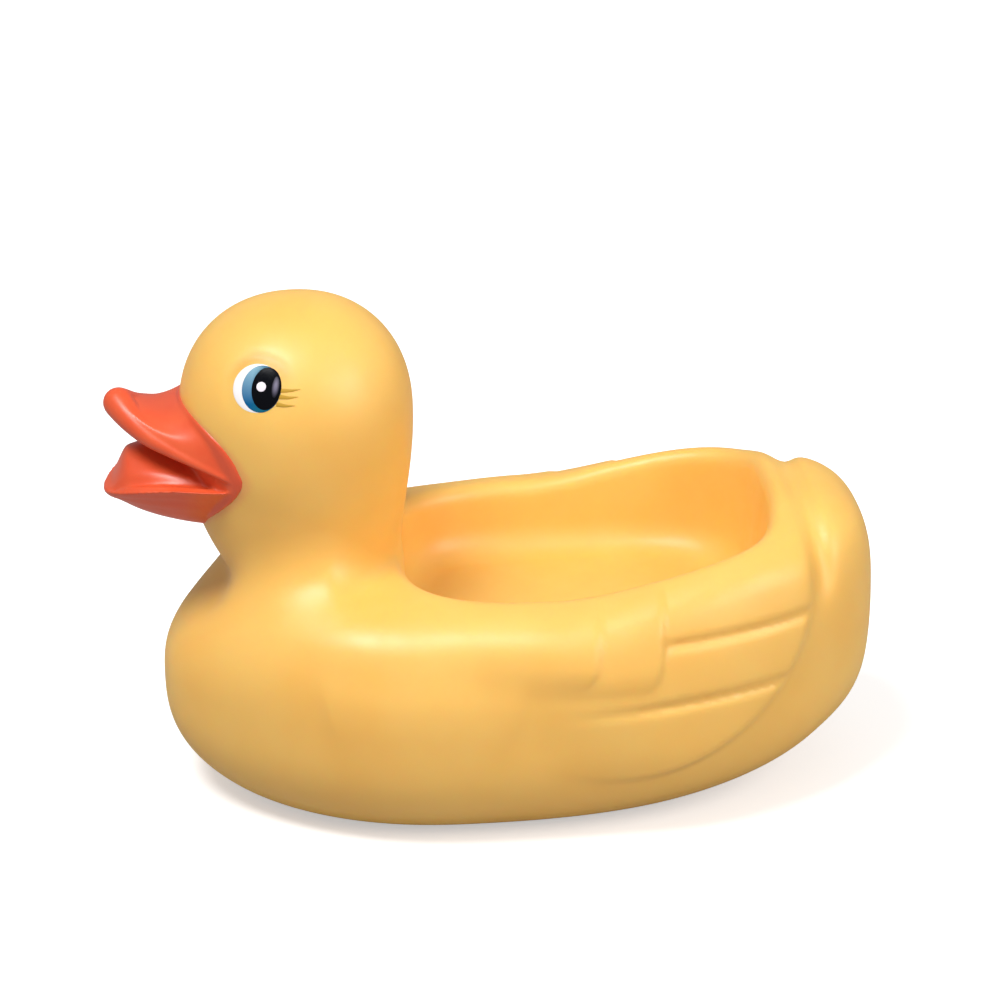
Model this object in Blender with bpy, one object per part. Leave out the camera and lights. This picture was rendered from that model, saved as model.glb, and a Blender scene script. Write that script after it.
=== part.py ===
"""A rubber bath duck with a tray in its back: one hollow vinyl moulding with a squeaker in its base.

Metres, +Z up. The duck faces -X, its left side faces -Y, and it stands on z = 0, with the origin
under the middle of its length. Each form of the body is a simple solid. They are joined and cut with
Booleans and remeshed, and the points are then drawn onto the blended surface of the same forms,
which gives the moulding its soft creases. The bill and the eyes are lofted on their own and joined
on, so that their paint has a clean edge.
"""

import math

import bmesh
import bpy
import numpy as np
from mathutils import Vector

MM = 0.001

# The torso: an egg with a lifted rump, cut flat at the base and along the rim above.
TORSO_X = -8.0 * MM
TORSO_Z = 25.6 * MM
BREAST_REACH = 64.0 * MM
RUMP_REACH = 88.5 * MM
TORSO_HALF_WIDTH = 48.0 * MM
TORSO_RISE = 37.5 * MM
TORSO_DROP = 30.0 * MM
TORSO_POWER = 2.6
RUMP_LIFT = 5.0 * MM
RUMP_RISE = 38.0 * MM
BREAST_TAPER = 0.36
BASE_ROUND = 5.0 * MM
BASE_TRIM = 0.3 * MM

# The rim of the tray, which climbs towards the tail and falls over the breast.
RIM_FRONT_Z = 53.3 * MM
RIM_REAR_Z = 62.5 * MM
RIM_LEVEL_LENGTH = 30.0 * MM
RIM_CLIMB_LENGTH = 48.0 * MM
RIM_ROUND = 8.0 * MM
BREAST_FALL = 8.0 * MM
BREAST_FALL_LENGTH = 24.0 * MM

# The head, the jaw under its bill and the neck, given from the head's centre.
HEAD_X = -41.5 * MM
HEAD_Z = 86.7 * MM
HEAD_FRONT = 25.6 * MM
HEAD_REAR = 24.6 * MM
HEAD_HALF_WIDTH = 25.0 * MM
HEAD_RISE = 24.8 * MM
HEAD_DROP = 33.0 * MM
HEAD_POWER = 2.15
HEAD_BLEND = 12.0 * MM
JAW_AHEAD = 6.0 * MM
JAW_BELOW = 20.2 * MM
JAW_FRONT = 15.0 * MM
JAW_REAR = 17.0 * MM
JAW_HALF_WIDTH = 16.0 * MM
JAW_HALF_HEIGHT = 14.0 * MM
JAW_BLEND = 7.0 * MM
NECK_SET_BACK = 3.7 * MM
NECK_HALF_LENGTH = 17.7 * MM
NECK_HALF_WIDTH = 18.0 * MM
NECK_TAPER = 0.30
NECK_FOOT_RISE = 6.0 * MM
NECK_TOP_ROUND = 22.0 * MM
THROAT_BLEND = 3.5 * MM
SHOULDER_BLEND = 15.0 * MM

# The tray. Its front wall is the back of the neck.
TRAY_LENGTH = 79.0 * MM
TRAY_HALF_WIDTH = 31.5 * MM
TRAY_DEPTH = 15.5 * MM
TRAY_POWER = 3.5
TRAY_DRAFT = 0.10
TRAY_FLOOR_ROUND = 7.0 * MM
TRAY_LIP_ROUND = 3.5 * MM

# The tail stands up behind the tray, just proud of the rump.
TAIL_PROUD = 2.0 * MM
TAIL_REAR = 20.0 * MM
TAIL_FRONT = 14.0 * MM
TAIL_Z = 45.0 * MM
TAIL_HALF_WIDTH = 23.0 * MM
TAIL_RISE = 20.5 * MM
TAIL_DROP = 31.0 * MM
TAIL_POWER = 2.8
TAIL_BLEND = 9.0 * MM

# The wing: three tiers of feathers, each an oval seen from the side, below the line of the rim.
# Offsets are from the torso's centre, and drops are from the top of the ovals. The two front tiers
# fade out below their crisp drop, and a dip parts the wing's tip from the tail.
WING_TOP_Z = 54.0 * MM
WING_EDGE = 1.5 * MM
WING_FADE_LENGTH = 34.0 * MM
WING_FADE_RAKE = 0.9
FLIGHT_OFFSET = 32.0 * MM
FLIGHT_HALF_LENGTH = 42.5 * MM
FLIGHT_DROP = 38.0 * MM
FLIGHT_RELIEF = 1.7 * MM
FLIGHT_POWER = 1.9
TIER_POWER = 2.6
TIER_FADE_DROP = 14.0 * MM
COVERT_OFFSET = 16.0 * MM
COVERT_HALF_LENGTH = 25.0 * MM
COVERT_DROP = 32.0 * MM
COVERT_CRISP_DROP = 12.0 * MM
COVERT_RELIEF = 0.8 * MM
SHOULDER_OFFSET = 5.0 * MM
SHOULDER_HALF_LENGTH = 22.5 * MM
SHOULDER_DROP = 28.0 * MM
SHOULDER_CRISP_DROP = 10.0 * MM
SHOULDER_RELIEF = 0.7 * MM
FEATHER_GROOVE_DROPS = (7.6 * MM, 20.6 * MM)
FEATHER_GROOVE_RISE = 0.06
FEATHER_GROOVE_DEPTH = 0.85 * MM
FEATHER_GROOVE_HALF_WIDTH = 1.1 * MM
WING_DIP_DEPTH = 1.6 * MM
WING_DIP_OUT = 2.4 * MM
WING_DIP_SPREAD = 2.6 * MM
WING_DIP_BELOW_TOP = 10.0 * MM
WING_DIP_CLIMB = 12.0 * MM

# The bill, given from the head's centre. Two blades open at its front, and a round knob ends the
# upper one. Its root is a low plate on the face.
BILL_REACH = 41.8 * MM
BILL_ROOT_REACH = 14.5 * MM
BILL_HALF_WIDTH = 20.0 * MM
BILL_POWER = 1.5
BILL_RIDGE_ROOT_DROP = 9.6 * MM
BILL_RIDGE_SLOPE = 0.50
BILL_KICK_REACH = 30.0 * MM
BILL_KICK_CURVE = 44.0
BILL_SADDLE_REACH = 30.5 * MM
BILL_SADDLE_RISE = 2.0 * MM
BILL_SADDLE_CURVE = 62.5
BILL_SADDLE_TOP = 8.0 * MM
BILL_ROOT_POWER = 6.0
BILL_FRONT_POWER = 2.0
BILL_EDGE_THICKNESS = 8.0 * MM
BILL_CORNER_THICKNESS = 2.4 * MM
BILL_UNDERCUT = 0.14
BILL_RIM_HEIGHT = 0.9 * MM
BILL_RIM_ACROSS = 0.86
BILL_RIM_SPREAD = 0.13
BILL_EDGE_POWER = 0.66
BILL_TIP_POWER = 10
PALATE_RISE = 2.0 * MM
KNOB_RADIUS = 3.3 * MM
KNOB_RISE = 2.4 * MM
KNOB_OVERLAP = 0.7 * MM
LOWER_LONGER = 0.6 * MM
LOWER_POWER = 2.0
LOWER_HALF_WIDTH = 19.4 * MM
LOWER_LIP_DROP = 10.7 * MM
LOWER_TIP_DIP = 4.5 * MM
LOWER_DIP_REACH = 24.0 * MM
LOWER_DEPTH = 15.3 * MM
LOWER_KEEL_CURVE = 9.8
LOWER_KEEL_POWER = 2.2
LIP_THICKNESS = 2.4 * MM
TONGUE_RISE = 6.0 * MM
TONGUE_POWER = 1.5
TONGUE_START = 0.8 * MM
TONGUE_CLIMB = 4.2 * MM
TONGUE_GROOVE = 1.4 * MM
TONGUE_GROOVE_ACROSS = 0.74
TONGUE_GROOVE_SPREAD = 0.09
BILL_BASE_HALF_WIDTH = 19.5 * MM
BILL_BASE_DROP = 8.0 * MM
BILL_BASE_RISE = 12.6 * MM
BILL_BASE_FALL = 13.0 * MM
BILL_BASE_PROUD = 0.4 * MM
BILL_BASE_TOP_POWER = 2.7
BILL_BASE_LOW_POWER = 1.7

# The painted eyes: ovals on the head, each a little proud of the one before.
EYE_TURN = math.radians(25.6)
EYE_TILT = math.radians(28.8)
EYE_HALF_SIZES = (5.5 * MM, 5.4 * MM)
IRIS_SHIFT = (1.1 * MM, -0.05 * MM)
IRIS_HALF_SIZES = (4.4 * MM, 5.2 * MM)
PUPIL_SHIFT = (2.2 * MM, 0.15 * MM)
PUPIL_HALF_SIZES = (3.3 * MM, 4.75 * MM)
GLINT_SHIFT = (1.0 * MM, 0.3 * MM)
GLINT_HALF_SIZES = (1.05 * MM, 1.05 * MM)
LASH_COUNT = 3
LASH_LENGTH = 4.4 * MM
LASH_HALF_HEIGHT = 0.28 * MM
LASH_SPACING = 2.0 * MM
LASH_STEP_IN = 0.4 * MM
LASH_TURN = math.radians(6.0)
LASH_FAN = math.radians(5.0)
PAINT_STEP = 0.15 * MM
PLATE_ROOT = 1.2 * MM

# The wall of the moulding, and how far the rim is solid above the hollow.
WALL = 2.6 * MM
RIM_SOLID = 8.0 * MM

# The squeaker, pressed into a well in the base.
SQUEAKER_X = 4.0 * MM
SQUEAKER_RADIUS = 8.2 * MM
SQUEAKER_SUNK = 0.4 * MM
SQUEAKER_SHELL = 1.2 * MM
AIR_HOLE_RADIUS = 1.5 * MM
INLET_RADIUS = 1.0 * MM
CLEARANCE = 0.3 * MM
COVER_THICKNESS = 1.0 * MM
COVER_RIM_LAND = 0.8 * MM
SOUND_HOLE_RADIUS = 0.8 * MM
SOUND_HOLE_COUNT = 5
REED_BLOCK_HALF_WIDTH = 1.9 * MM
REED_HALF_WIDTH = 1.3 * MM
REED_CHANNEL_HALF_WIDTH = 0.6 * MM
REED_THICKNESS = 0.25 * MM
REED_BLOCK_HEIGHT = 1.2 * MM
REED_CHANNEL_DEPTH = 0.5 * MM
REED_HEADROOM = 0.35 * MM
REED_REACH = 0.7
SOUND_HOLE_CIRCLE = 0.62

# Mesh sizes.
SKIN_VOXEL = 1.6 * MM
CAVITY_VOXEL = 3.0 * MM
SKIN_TRIANGLES = 6300
CAVITY_TRIANGLES = 1000
BILL_STATIONS = 12
BILL_RING = 36

# Worked out from the sizes above.
NECK_X = HEAD_X + NECK_SET_BACK
NECK_FOOT_Z = TORSO_Z + NECK_FOOT_RISE
TRAY_FRONT_X = NECK_X + NECK_HALF_LENGTH
TRAY_X = TRAY_FRONT_X + TRAY_LENGTH / 2.0
TRAY_FLOOR_Z = RIM_FRONT_Z - TRAY_DEPTH
TAIL_X = TORSO_X + RUMP_REACH + TAIL_PROUD - TAIL_REAR
REED_STACK = REED_BLOCK_HEIGHT + CLEARANCE + REED_THICKNESS + REED_HEADROOM
SQUEAKER_HEIGHT = COVER_THICKNESS + CLEARANCE + REED_STACK + SQUEAKER_SHELL
WELL_RADIUS = SQUEAKER_RADIUS + CLEARANCE
SQUEAKER_LOW_Z = BASE_TRIM + SQUEAKER_SUNK
WELL_TOP_Z = SQUEAKER_LOW_Z + SQUEAKER_HEIGHT + CLEARANCE
BILL_ROOT_X = HEAD_X - BILL_ROOT_REACH
BILL_TIP_X = HEAD_X - BILL_REACH


def smooth_min(a, b, blend):
    """The lower of two distances, with a fillet of about that size where they meet."""
    share = np.clip(0.5 + 0.5 * (b - a) / blend, 0.0, 1.0)
    return b + (a - b) * share - blend * share * (1.0 - share)


def smooth_max(a, b, blend):
    """The higher of two distances, rounded where they meet."""
    return -smooth_min(-a, -b, blend)


def ease(value, start, end):
    """0 before start, 1 after end, and a smooth climb between them."""
    share = np.clip((value - start) / (end - start), 0.0, 1.0)
    return share * share * (3.0 - 2.0 * share)


def rounded_distance(offsets, axes, power):
    """The distance to a superellipsoid with these half axes, from offsets off its centre."""
    share = np.maximum(np.abs(offsets) / axes, 1e-9)
    size = (share**power).sum(axis=1) ** (1.0 / power)
    slope = size ** (1.0 - power) * np.linalg.norm(share ** (power - 1.0) / axes, axis=1)
    return (size - 1.0) / slope


def oval(half_sizes, power, count):
    """Points round a superellipse."""
    points = []
    for step in range(count):
        x = math.cos(math.tau * step / count)
        y = math.sin(math.tau * step / count)
        size = (abs(x) ** power + abs(y) ** power) ** (1.0 / power)
        points.append((x / size * half_sizes[0], y / size * half_sizes[1]))
    return points


def lofted(rings):
    """A closed bmesh through rings of points, with a face at each end."""
    mesh = bmesh.new()
    loops = [[mesh.verts.new(point) for point in ring] for ring in rings]
    mesh.faces.new(reversed(loops[0]))
    mesh.faces.new(loops[-1])
    for below, above in zip(loops, loops[1:]):
        for i in range(len(below)):
            j = (i + 1) % len(below)
            mesh.faces.new((below[i], below[j], above[j], above[i]))
    return mesh


def mesh_object(name, mesh, material=None):
    """An object from a bmesh, with its faces pointing out."""
    bmesh.ops.recalc_face_normals(mesh, faces=mesh.faces)
    data = bpy.data.meshes.new(name)
    mesh.to_mesh(data)
    mesh.free()
    if material:
        data.materials.append(material)
    data.shade_smooth()
    data.set_sharp_from_angle(angle=math.radians(40.0))
    obj = bpy.data.objects.new(name, data)
    bpy.context.scene.collection.objects.link(obj)
    return obj


def as_cutter(obj):
    """Keeps a helper out of the model: it only cuts, joins or guides."""
    obj.hide_render = True
    obj.display_type = "WIRE"
    return obj


def boolean(obj, other, operation):
    modifier = obj.modifiers.new(other.name, "BOOLEAN")
    modifier.object = other
    modifier.operation = operation
    modifier.solver = "EXACT"
    modifier.material_mode = "TRANSFER"


def material(name, colour, roughness):
    mat = bpy.data.materials.new(name)
    mat.use_nodes = True
    shader = mat.node_tree.nodes["Principled BSDF"]
    shader.inputs["Base Color"].default_value = (*colour, 1.0)
    shader.inputs["Roughness"].default_value = roughness
    mat.diffuse_color = (*colour, 1.0)
    return mat


class Egg:
    """A rounded solid with its own reach forwards, backwards, up and down."""

    def __init__(self, centre, front, rear, half_width, rise, drop, power=2.0,
                 lift=0.0, rear_rise=0.0, front_taper=0.0):
        self.centre = np.array(centre)
        self.front, self.rear, self.half_width = front, rear, half_width
        self.rise, self.drop, self.power = rise, drop, power
        self.lift, self.rear_rise, self.front_taper = lift, rear_rise, front_taper

    def section(self, x):
        """The lift, the half width and the rise of the section at x from the centre."""
        rearward = np.clip(x / self.rear, 0.0, 1.2) ** 2
        taper = 1.0 - self.front_taper * np.clip(-x / self.front, 0.0, 1.2) ** 2
        rise = (self.rise + self.rear_rise * rearward) * taper
        return self.lift * rearward, self.half_width * taper, rise

    def distance(self, points):
        offsets = points - self.centre
        lift, half_width, rise = self.section(offsets[:, 0])
        offsets[:, 2] -= lift
        axes = np.empty_like(offsets)
        axes[:, 0] = np.where(offsets[:, 0] < 0.0, self.front, self.rear)
        axes[:, 1] = half_width
        axes[:, 2] = np.where(offsets[:, 2] > 0.0, rise, self.drop)
        return rounded_distance(offsets, axes, self.power)

    def solid(self, inset):
        """The form as a closed mesh, drawn in by inset all over."""
        mesh = bmesh.new()
        bmesh.ops.create_uvsphere(mesh, u_segments=40, v_segments=24, radius=1.0)
        for vert in mesh.verts:
            size = sum(abs(c) ** self.power for c in vert.co) ** (1.0 / self.power)
            x = vert.co.x / size * ((self.front if vert.co.x < 0.0 else self.rear) - inset)
            lift, half_width, rise = (float(value) for value in self.section(x))
            z = vert.co.z / size * ((rise if vert.co.z > 0.0 else self.drop) - inset)
            y = vert.co.y / size * (half_width - inset)
            vert.co = Vector(self.centre) + Vector((x, y, z + lift))
        return mesh_object("egg", mesh)

    def surface_along(self, direction):
        """The point of the surface in this direction from the centre."""
        front = self.front if direction.x < 0.0 else self.rear
        height = self.rise if direction.z > 0.0 else self.drop
        axes = (front, self.half_width, height)
        size = sum((abs(c) / a) ** self.power for c, a in zip(direction, axes)) ** (1.0 / self.power)
        return Vector(self.centre) + direction / size


class Neck:
    """An upright oval column, narrower towards its top, which is buried in the head."""

    def half_axes(self, z):
        width = 1.0 - NECK_TAPER * ease(z, RIM_FRONT_Z, HEAD_Z)
        return NECK_HALF_LENGTH * width, NECK_HALF_WIDTH * width

    def distance(self, points):
        offsets = points[:, :2] - np.array((NECK_X, 0.0))
        axes = np.stack(self.half_axes(points[:, 2]), axis=1)
        column = np.maximum(rounded_distance(offsets, axes, 2.0), NECK_FOOT_Z - points[:, 2])
        return smooth_max(column, points[:, 2] - HEAD_Z, NECK_TOP_ROUND)

    def solid(self, inset):
        rings = []
        for z in (NECK_FOOT_Z, RIM_FRONT_Z, (RIM_FRONT_Z + HEAD_Z) / 2.0, HEAD_Z):
            half_length, half_width = (float(half) - inset for half in self.half_axes(z))
            rings.append([(NECK_X + x, y, z) for x, y in oval((half_length, half_width), 2.0, 48)])
        return mesh_object("neck", lofted(rings))


class Tray:
    """The hollow in the back: a tub with sloping walls, open above."""

    def half_axes(self, z):
        slope = TRAY_DRAFT * (z - RIM_FRONT_Z)
        return TRAY_LENGTH / 2.0 + slope, TRAY_HALF_WIDTH + slope

    def distance(self, points):
        offsets = points[:, :2] - np.array((TRAY_X, 0.0))
        axes = np.stack(self.half_axes(points[:, 2]), axis=1)
        walls = rounded_distance(offsets, axes, TRAY_POWER)
        return smooth_max(walls, TRAY_FLOOR_Z - points[:, 2], TRAY_FLOOR_ROUND)

    def solid(self, inset):
        rings = []
        for z in (TRAY_FLOOR_Z - inset, RIM_REAR_Z + TAIL_RISE):
            half_length, half_width = self.half_axes(z)
            outline = oval((half_length + inset, half_width + inset), TRAY_POWER, 48)
            rings.append([(TRAY_X + x, y, z) for x, y in outline])
        return mesh_object("tray", lofted(rings))


TORSO = Egg((TORSO_X, 0.0, TORSO_Z), BREAST_REACH, RUMP_REACH, TORSO_HALF_WIDTH,
            TORSO_RISE, TORSO_DROP, TORSO_POWER, RUMP_LIFT, RUMP_RISE, BREAST_TAPER)
TAIL = Egg((TAIL_X, 0.0, TAIL_Z), TAIL_FRONT, TAIL_REAR, TAIL_HALF_WIDTH,
           TAIL_RISE, TAIL_DROP, TAIL_POWER)
HEAD = Egg((HEAD_X, 0.0, HEAD_Z), HEAD_FRONT, HEAD_REAR, HEAD_HALF_WIDTH,
           HEAD_RISE, HEAD_DROP, HEAD_POWER)
JAW = Egg((HEAD_X - JAW_AHEAD, 0.0, HEAD_Z - JAW_BELOW), JAW_FRONT, JAW_REAR, JAW_HALF_WIDTH,
          JAW_HALF_HEIGHT, JAW_HALF_HEIGHT)
NECK = Neck()
TRAY = Tray()


def rim_height(x):
    """The rim's line along the duck: it climbs to the tail, and falls over the breast."""
    level_x = TRAY_FRONT_X + RIM_LEVEL_LENGTH
    climb = ease(x, level_x, level_x + RIM_CLIMB_LENGTH)
    fall = ease(NECK_X - NECK_HALF_LENGTH / 2.0 - x, 0.0, BREAST_FALL_LENGTH)
    return RIM_FRONT_Z + (RIM_REAR_Z - RIM_FRONT_Z) * climb - BREAST_FALL * fall


def outside_tier(points, offset, half_length, drop, power):
    """How far outside a tier of the wing each point is, seen from the side."""
    offsets = points[:, (0, 2)] - np.array((TORSO_X + offset, WING_TOP_Z))
    return rounded_distance(offsets, np.array((half_length, drop)), power)


def front_tier(points, offset, half_length, drop, crisp_drop):
    """1 within a front tier and 0 outside it, with an edge that fades below its crisp drop."""
    low = ease(WING_TOP_Z - points[:, 2], crisp_drop, crisp_drop + TIER_FADE_DROP)
    edge = WING_EDGE * (1.0 + 4.0 * low)
    return ease(-outside_tier(points, offset, half_length, drop, TIER_POWER), -edge, edge) * (1.0 - low)


def wing_relief(points):
    """How far the wing stands out from the torso's side."""
    covert = front_tier(points, COVERT_OFFSET, COVERT_HALF_LENGTH, COVERT_DROP, COVERT_CRISP_DROP)
    shoulder = front_tier(points, SHOULDER_OFFSET, SHOULDER_HALF_LENGTH, SHOULDER_DROP, SHOULDER_CRISP_DROP)
    outside = outside_tier(points, FLIGHT_OFFSET, FLIGHT_HALF_LENGTH, FLIGHT_DROP, FLIGHT_POWER)
    flight = ease(-outside, -WING_EDGE, WING_EDGE)
    start_x = TORSO_X + COVERT_OFFSET + COVERT_HALF_LENGTH
    behind = ease(points[:, 0], start_x - COVERT_HALF_LENGTH, start_x)
    grooves = 0.0
    for drop in FEATHER_GROOVE_DROPS:
        line = WING_TOP_Z - drop + FEATHER_GROOVE_RISE * (points[:, 0] - start_x)
        grooves = grooves + np.exp(-(((points[:, 2] - line) / FEATHER_GROOVE_HALF_WIDTH) ** 2))
    grooves = FEATHER_GROOVE_DEPTH * grooves * flight * (1.0 - covert) * behind
    flight = FLIGHT_RELIEF * flight
    covert = (FLIGHT_RELIEF + COVERT_RELIEF) * covert
    shoulder = (FLIGHT_RELIEF + COVERT_RELIEF + SHOULDER_RELIEF) * shoulder
    front_x = TORSO_X + SHOULDER_OFFSET - SHOULDER_HALF_LENGTH
    raked = points[:, 0] - WING_FADE_RAKE * np.maximum(WING_TOP_Z - points[:, 2], 0.0)
    fade = ease(raked, front_x, front_x + WING_FADE_LENGTH)
    return np.maximum(np.maximum(flight, covert), shoulder) * fade - grooves


def wing_dip(points):
    """How deep the dip between the wing's tip and the tail is."""
    outside = outside_tier(points, FLIGHT_OFFSET, FLIGHT_HALF_LENGTH, FLIGHT_DROP, FLIGHT_POWER)
    depth = WING_DIP_DEPTH * np.exp(-(((outside - WING_DIP_OUT) / WING_DIP_SPREAD) ** 2))
    low_z = WING_TOP_Z - WING_DIP_BELOW_TOP
    high = ease(points[:, 2], low_z, low_z + WING_DIP_CLIMB)
    return depth * high * (points[:, 0] > TORSO_X + FLIGHT_OFFSET)


def skin_distance(points, inset=0.0):
    """The distance to the moulding's skin, or to its hollow when inset is the wall."""
    torso = TORSO.distance(points) + inset
    rim = points[:, 2] - rim_height(points[:, 0]) + inset
    if inset:
        rim = rim + RIM_SOLID
    else:
        torso = torso - wing_relief(points)
    shape = smooth_max(torso, rim, RIM_ROUND)
    shape = smooth_min(shape, TAIL.distance(points) + inset, TAIL_BLEND) + wing_dip(points)
    shape = smooth_max(shape, inset - TRAY.distance(points), TRAY_LIP_ROUND)
    head = smooth_min(HEAD.distance(points), JAW.distance(points), JAW_BLEND) + inset
    upper = smooth_min(NECK.distance(points) + inset, head, HEAD_BLEND)
    side = ease(np.abs(points[:, 1]), 0.0, NECK_HALF_WIDTH)
    side = side * ease(TRAY_FRONT_X - points[:, 0], WALL, NECK_HALF_LENGTH)
    shape = smooth_min(shape, upper, THROAT_BLEND + (SHOULDER_BLEND - THROAT_BLEND) * side)
    return smooth_max(shape, inset - points[:, 2], BASE_ROUND)


def gradient(field, points, step=0.05 * MM):
    """The slope of a field at each point, by central differences."""
    slopes = np.empty_like(points)
    for axis in range(3):
        shift = np.zeros(3)
        shift[axis] = step
        slopes[:, axis] = (field(points + shift) - field(points - shift)) / (2.0 * step)
    return slopes


def draw_onto(data, field, rounds=3, passes=3, longest_step=1.5 * MM):
    """Moves a mesh's points onto the zero of a field, evening them out between rounds."""
    for _ in range(rounds):
        mesh = bmesh.new()
        mesh.from_mesh(data)
        bmesh.ops.smooth_vert(mesh, verts=mesh.verts, factor=0.5, use_axis_x=True,
                              use_axis_y=True, use_axis_z=True)
        mesh.to_mesh(data)
        mesh.free()
        points = np.empty(len(data.vertices) * 3)
        data.vertices.foreach_get("co", points)
        points = points.reshape(-1, 3)
        for _ in range(passes):
            slopes = gradient(field, points)
            steepness = np.maximum((slopes**2).sum(axis=1), 0.05)
            moves = -(field(points) / steepness)[:, None] * slopes
            lengths = np.maximum(np.linalg.norm(moves, axis=1), 1e-12)
            points = points + moves * np.minimum(1.0, longest_step / lengths)[:, None]
        data.vertices.foreach_set("co", points.ravel())
        data.update()


def rim_cutter(inset):
    """A block above the rim's line, which opens the torso alone."""
    drop = inset + (RIM_SOLID if inset else 0.0)
    reach = TORSO_HALF_WIDTH + RUMP_REACH
    xs = np.linspace(TORSO_X - reach, TORSO_X + reach, 41)
    outline = [(x, float(rim_height(x)) - drop) for x in xs]
    outline += [(xs[-1], HEAD_Z + reach), (xs[0], HEAD_Z + reach)]
    rings = [[(x, y, z) for x, z in outline] for y in (-reach, reach)]
    return mesh_object("rim_cutter", lofted(rings))


def floor_cutter(inset):
    """A block below the base."""
    reach = RUMP_REACH * 2.0
    outline = [(-reach, -reach), (reach, -reach), (reach, reach), (-reach, reach)]
    rings = [[(x, y, z) for x, y in outline] for z in (-reach, inset)]
    return mesh_object("floor_cutter", lofted(rings))


def blended_form(name, inset, voxel, triangles):
    """The duck without its bill, or its hollow, remeshed and drawn onto its field."""
    obj = TORSO.solid(inset)
    obj.name = name
    steps = ((rim_cutter(inset), "DIFFERENCE"), (TAIL.solid(inset), "UNION"),
             (TRAY.solid(inset), "DIFFERENCE"), (NECK.solid(inset), "UNION"),
             (HEAD.solid(inset), "UNION"), (JAW.solid(inset), "UNION"),
             (floor_cutter(inset), "DIFFERENCE"))
    for other, operation in steps:
        boolean(obj, other, operation)
    remesh = obj.modifiers.new("Remesh", "REMESH")
    remesh.mode = "VOXEL"
    remesh.voxel_size = voxel
    graph = bpy.context.evaluated_depsgraph_get()
    data = bpy.data.meshes.new_from_object(obj.evaluated_get(graph))
    obj.modifiers.clear()
    for other, _ in steps:
        bpy.data.objects.remove(other)
    data.materials.clear()
    draw_onto(data, lambda points: skin_distance(points, inset))
    obj.data = data
    decimate = obj.modifiers.new("Decimate", "DECIMATE")
    decimate.ratio = min(1.0, triangles / (2.0 * len(data.polygons)))
    decimate.use_symmetry = True
    decimate.symmetry_axis = "Y"
    return obj


def blade(name, tip_x, half_width, power, surfaces, paint):
    """One blade of the bill, lofted from inside the head to its tip."""
    length = BILL_ROOT_X - tip_x
    rings = []
    for station in range(BILL_STATIONS):
        share = math.sin(math.pi / 2.0 * station / (BILL_STATIONS - 1)) * 0.999
        x = BILL_ROOT_X - length * share
        width = half_width * (1.0 - share**power) ** (1.0 / power)
        closing = math.sqrt(1.0 - share**BILL_TIP_POWER)
        ring = []
        for step in range(BILL_RING):
            angle = math.tau * step / BILL_RING
            across = math.cos(angle)
            top, bottom = surfaces(x, across)
            edge = math.copysign(abs(math.sin(angle)) ** BILL_EDGE_POWER, math.sin(angle))
            z = (top + bottom) / 2.0 + (top - bottom) / 2.0 * edge * closing
            ring.append((x, across * width * (1.0 - BILL_UNDERCUT * (1.0 - edge) / 2.0), z))
        rings.append(ring)
    return as_cutter(mesh_object(name, lofted(rings), paint))


def ridge_height(x):
    """The height of the raised border of the upper blade, which kicks up to the tip."""
    kick = max(0.0, HEAD_X - x - BILL_KICK_REACH)
    rise = BILL_RIDGE_SLOPE * (BILL_ROOT_X - x) + BILL_KICK_CURVE * kick**2
    return HEAD_Z - BILL_RIDGE_ROOT_DROP + rise


def upper_surfaces(x, across):
    """The top and the underside of the upper blade."""
    reach = HEAD_X - x
    centre = HEAD_Z + BILL_SADDLE_RISE + BILL_SADDLE_CURVE * (reach - BILL_SADDLE_REACH) ** 2
    centre = min(centre, HEAD_Z + BILL_SADDLE_TOP)
    ridge = ridge_height(x)
    share = (BILL_ROOT_X - x) / (BILL_ROOT_X - BILL_TIP_X)
    rim = BILL_RIM_HEIGHT * math.exp(-(((abs(across) - BILL_RIM_ACROSS) / BILL_RIM_SPREAD) ** 2))
    power = BILL_ROOT_POWER + (BILL_FRONT_POWER - BILL_ROOT_POWER) * share
    top = centre + (ridge - centre) * abs(across) ** power + rim
    thickness = BILL_CORNER_THICKNESS + (BILL_EDGE_THICKNESS - BILL_CORNER_THICKNESS) * share
    return top, ridge - thickness + PALATE_RISE * (1.0 - across**2)


def lower_surfaces(x, across):
    """The tongue's surface and the keel of the lower blade."""
    dip = max(0.0, (HEAD_X - x - LOWER_DIP_REACH) / (BILL_REACH - LOWER_DIP_REACH))
    lip = HEAD_Z - LOWER_LIP_DROP - LOWER_TIP_DIP * dip**2
    keel = HEAD_Z - LOWER_LIP_DROP - LOWER_DEPTH + LOWER_KEEL_CURVE * (BILL_ROOT_X - x) ** 2
    share = (BILL_ROOT_X - x) / (BILL_ROOT_X - BILL_TIP_X)
    front = float(ease(x - BILL_TIP_X, TONGUE_START, TONGUE_START + TONGUE_CLIMB))
    tongue = TONGUE_RISE * share * front * max(0.0, 1.0 - across**2) ** TONGUE_POWER
    offset = (abs(across) - TONGUE_GROOVE_ACROSS) / TONGUE_GROOVE_SPREAD
    top = lip + tongue - TONGUE_GROOVE * math.exp(-(offset**2))
    return top, keel + (lip - LIP_THICKNESS - keel) * abs(across) ** LOWER_KEEL_POWER


def knob(paint):
    """The round end of the upper blade."""
    mesh = bmesh.new()
    bmesh.ops.create_uvsphere(mesh, u_segments=16, v_segments=10, radius=KNOB_RADIUS)
    bmesh.ops.translate(mesh, verts=mesh.verts, vec=(BILL_TIP_X + KNOB_RADIUS, 0.0, HEAD_Z + KNOB_RISE))
    return as_cutter(mesh_object("bill_knob", mesh, paint))


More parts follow.
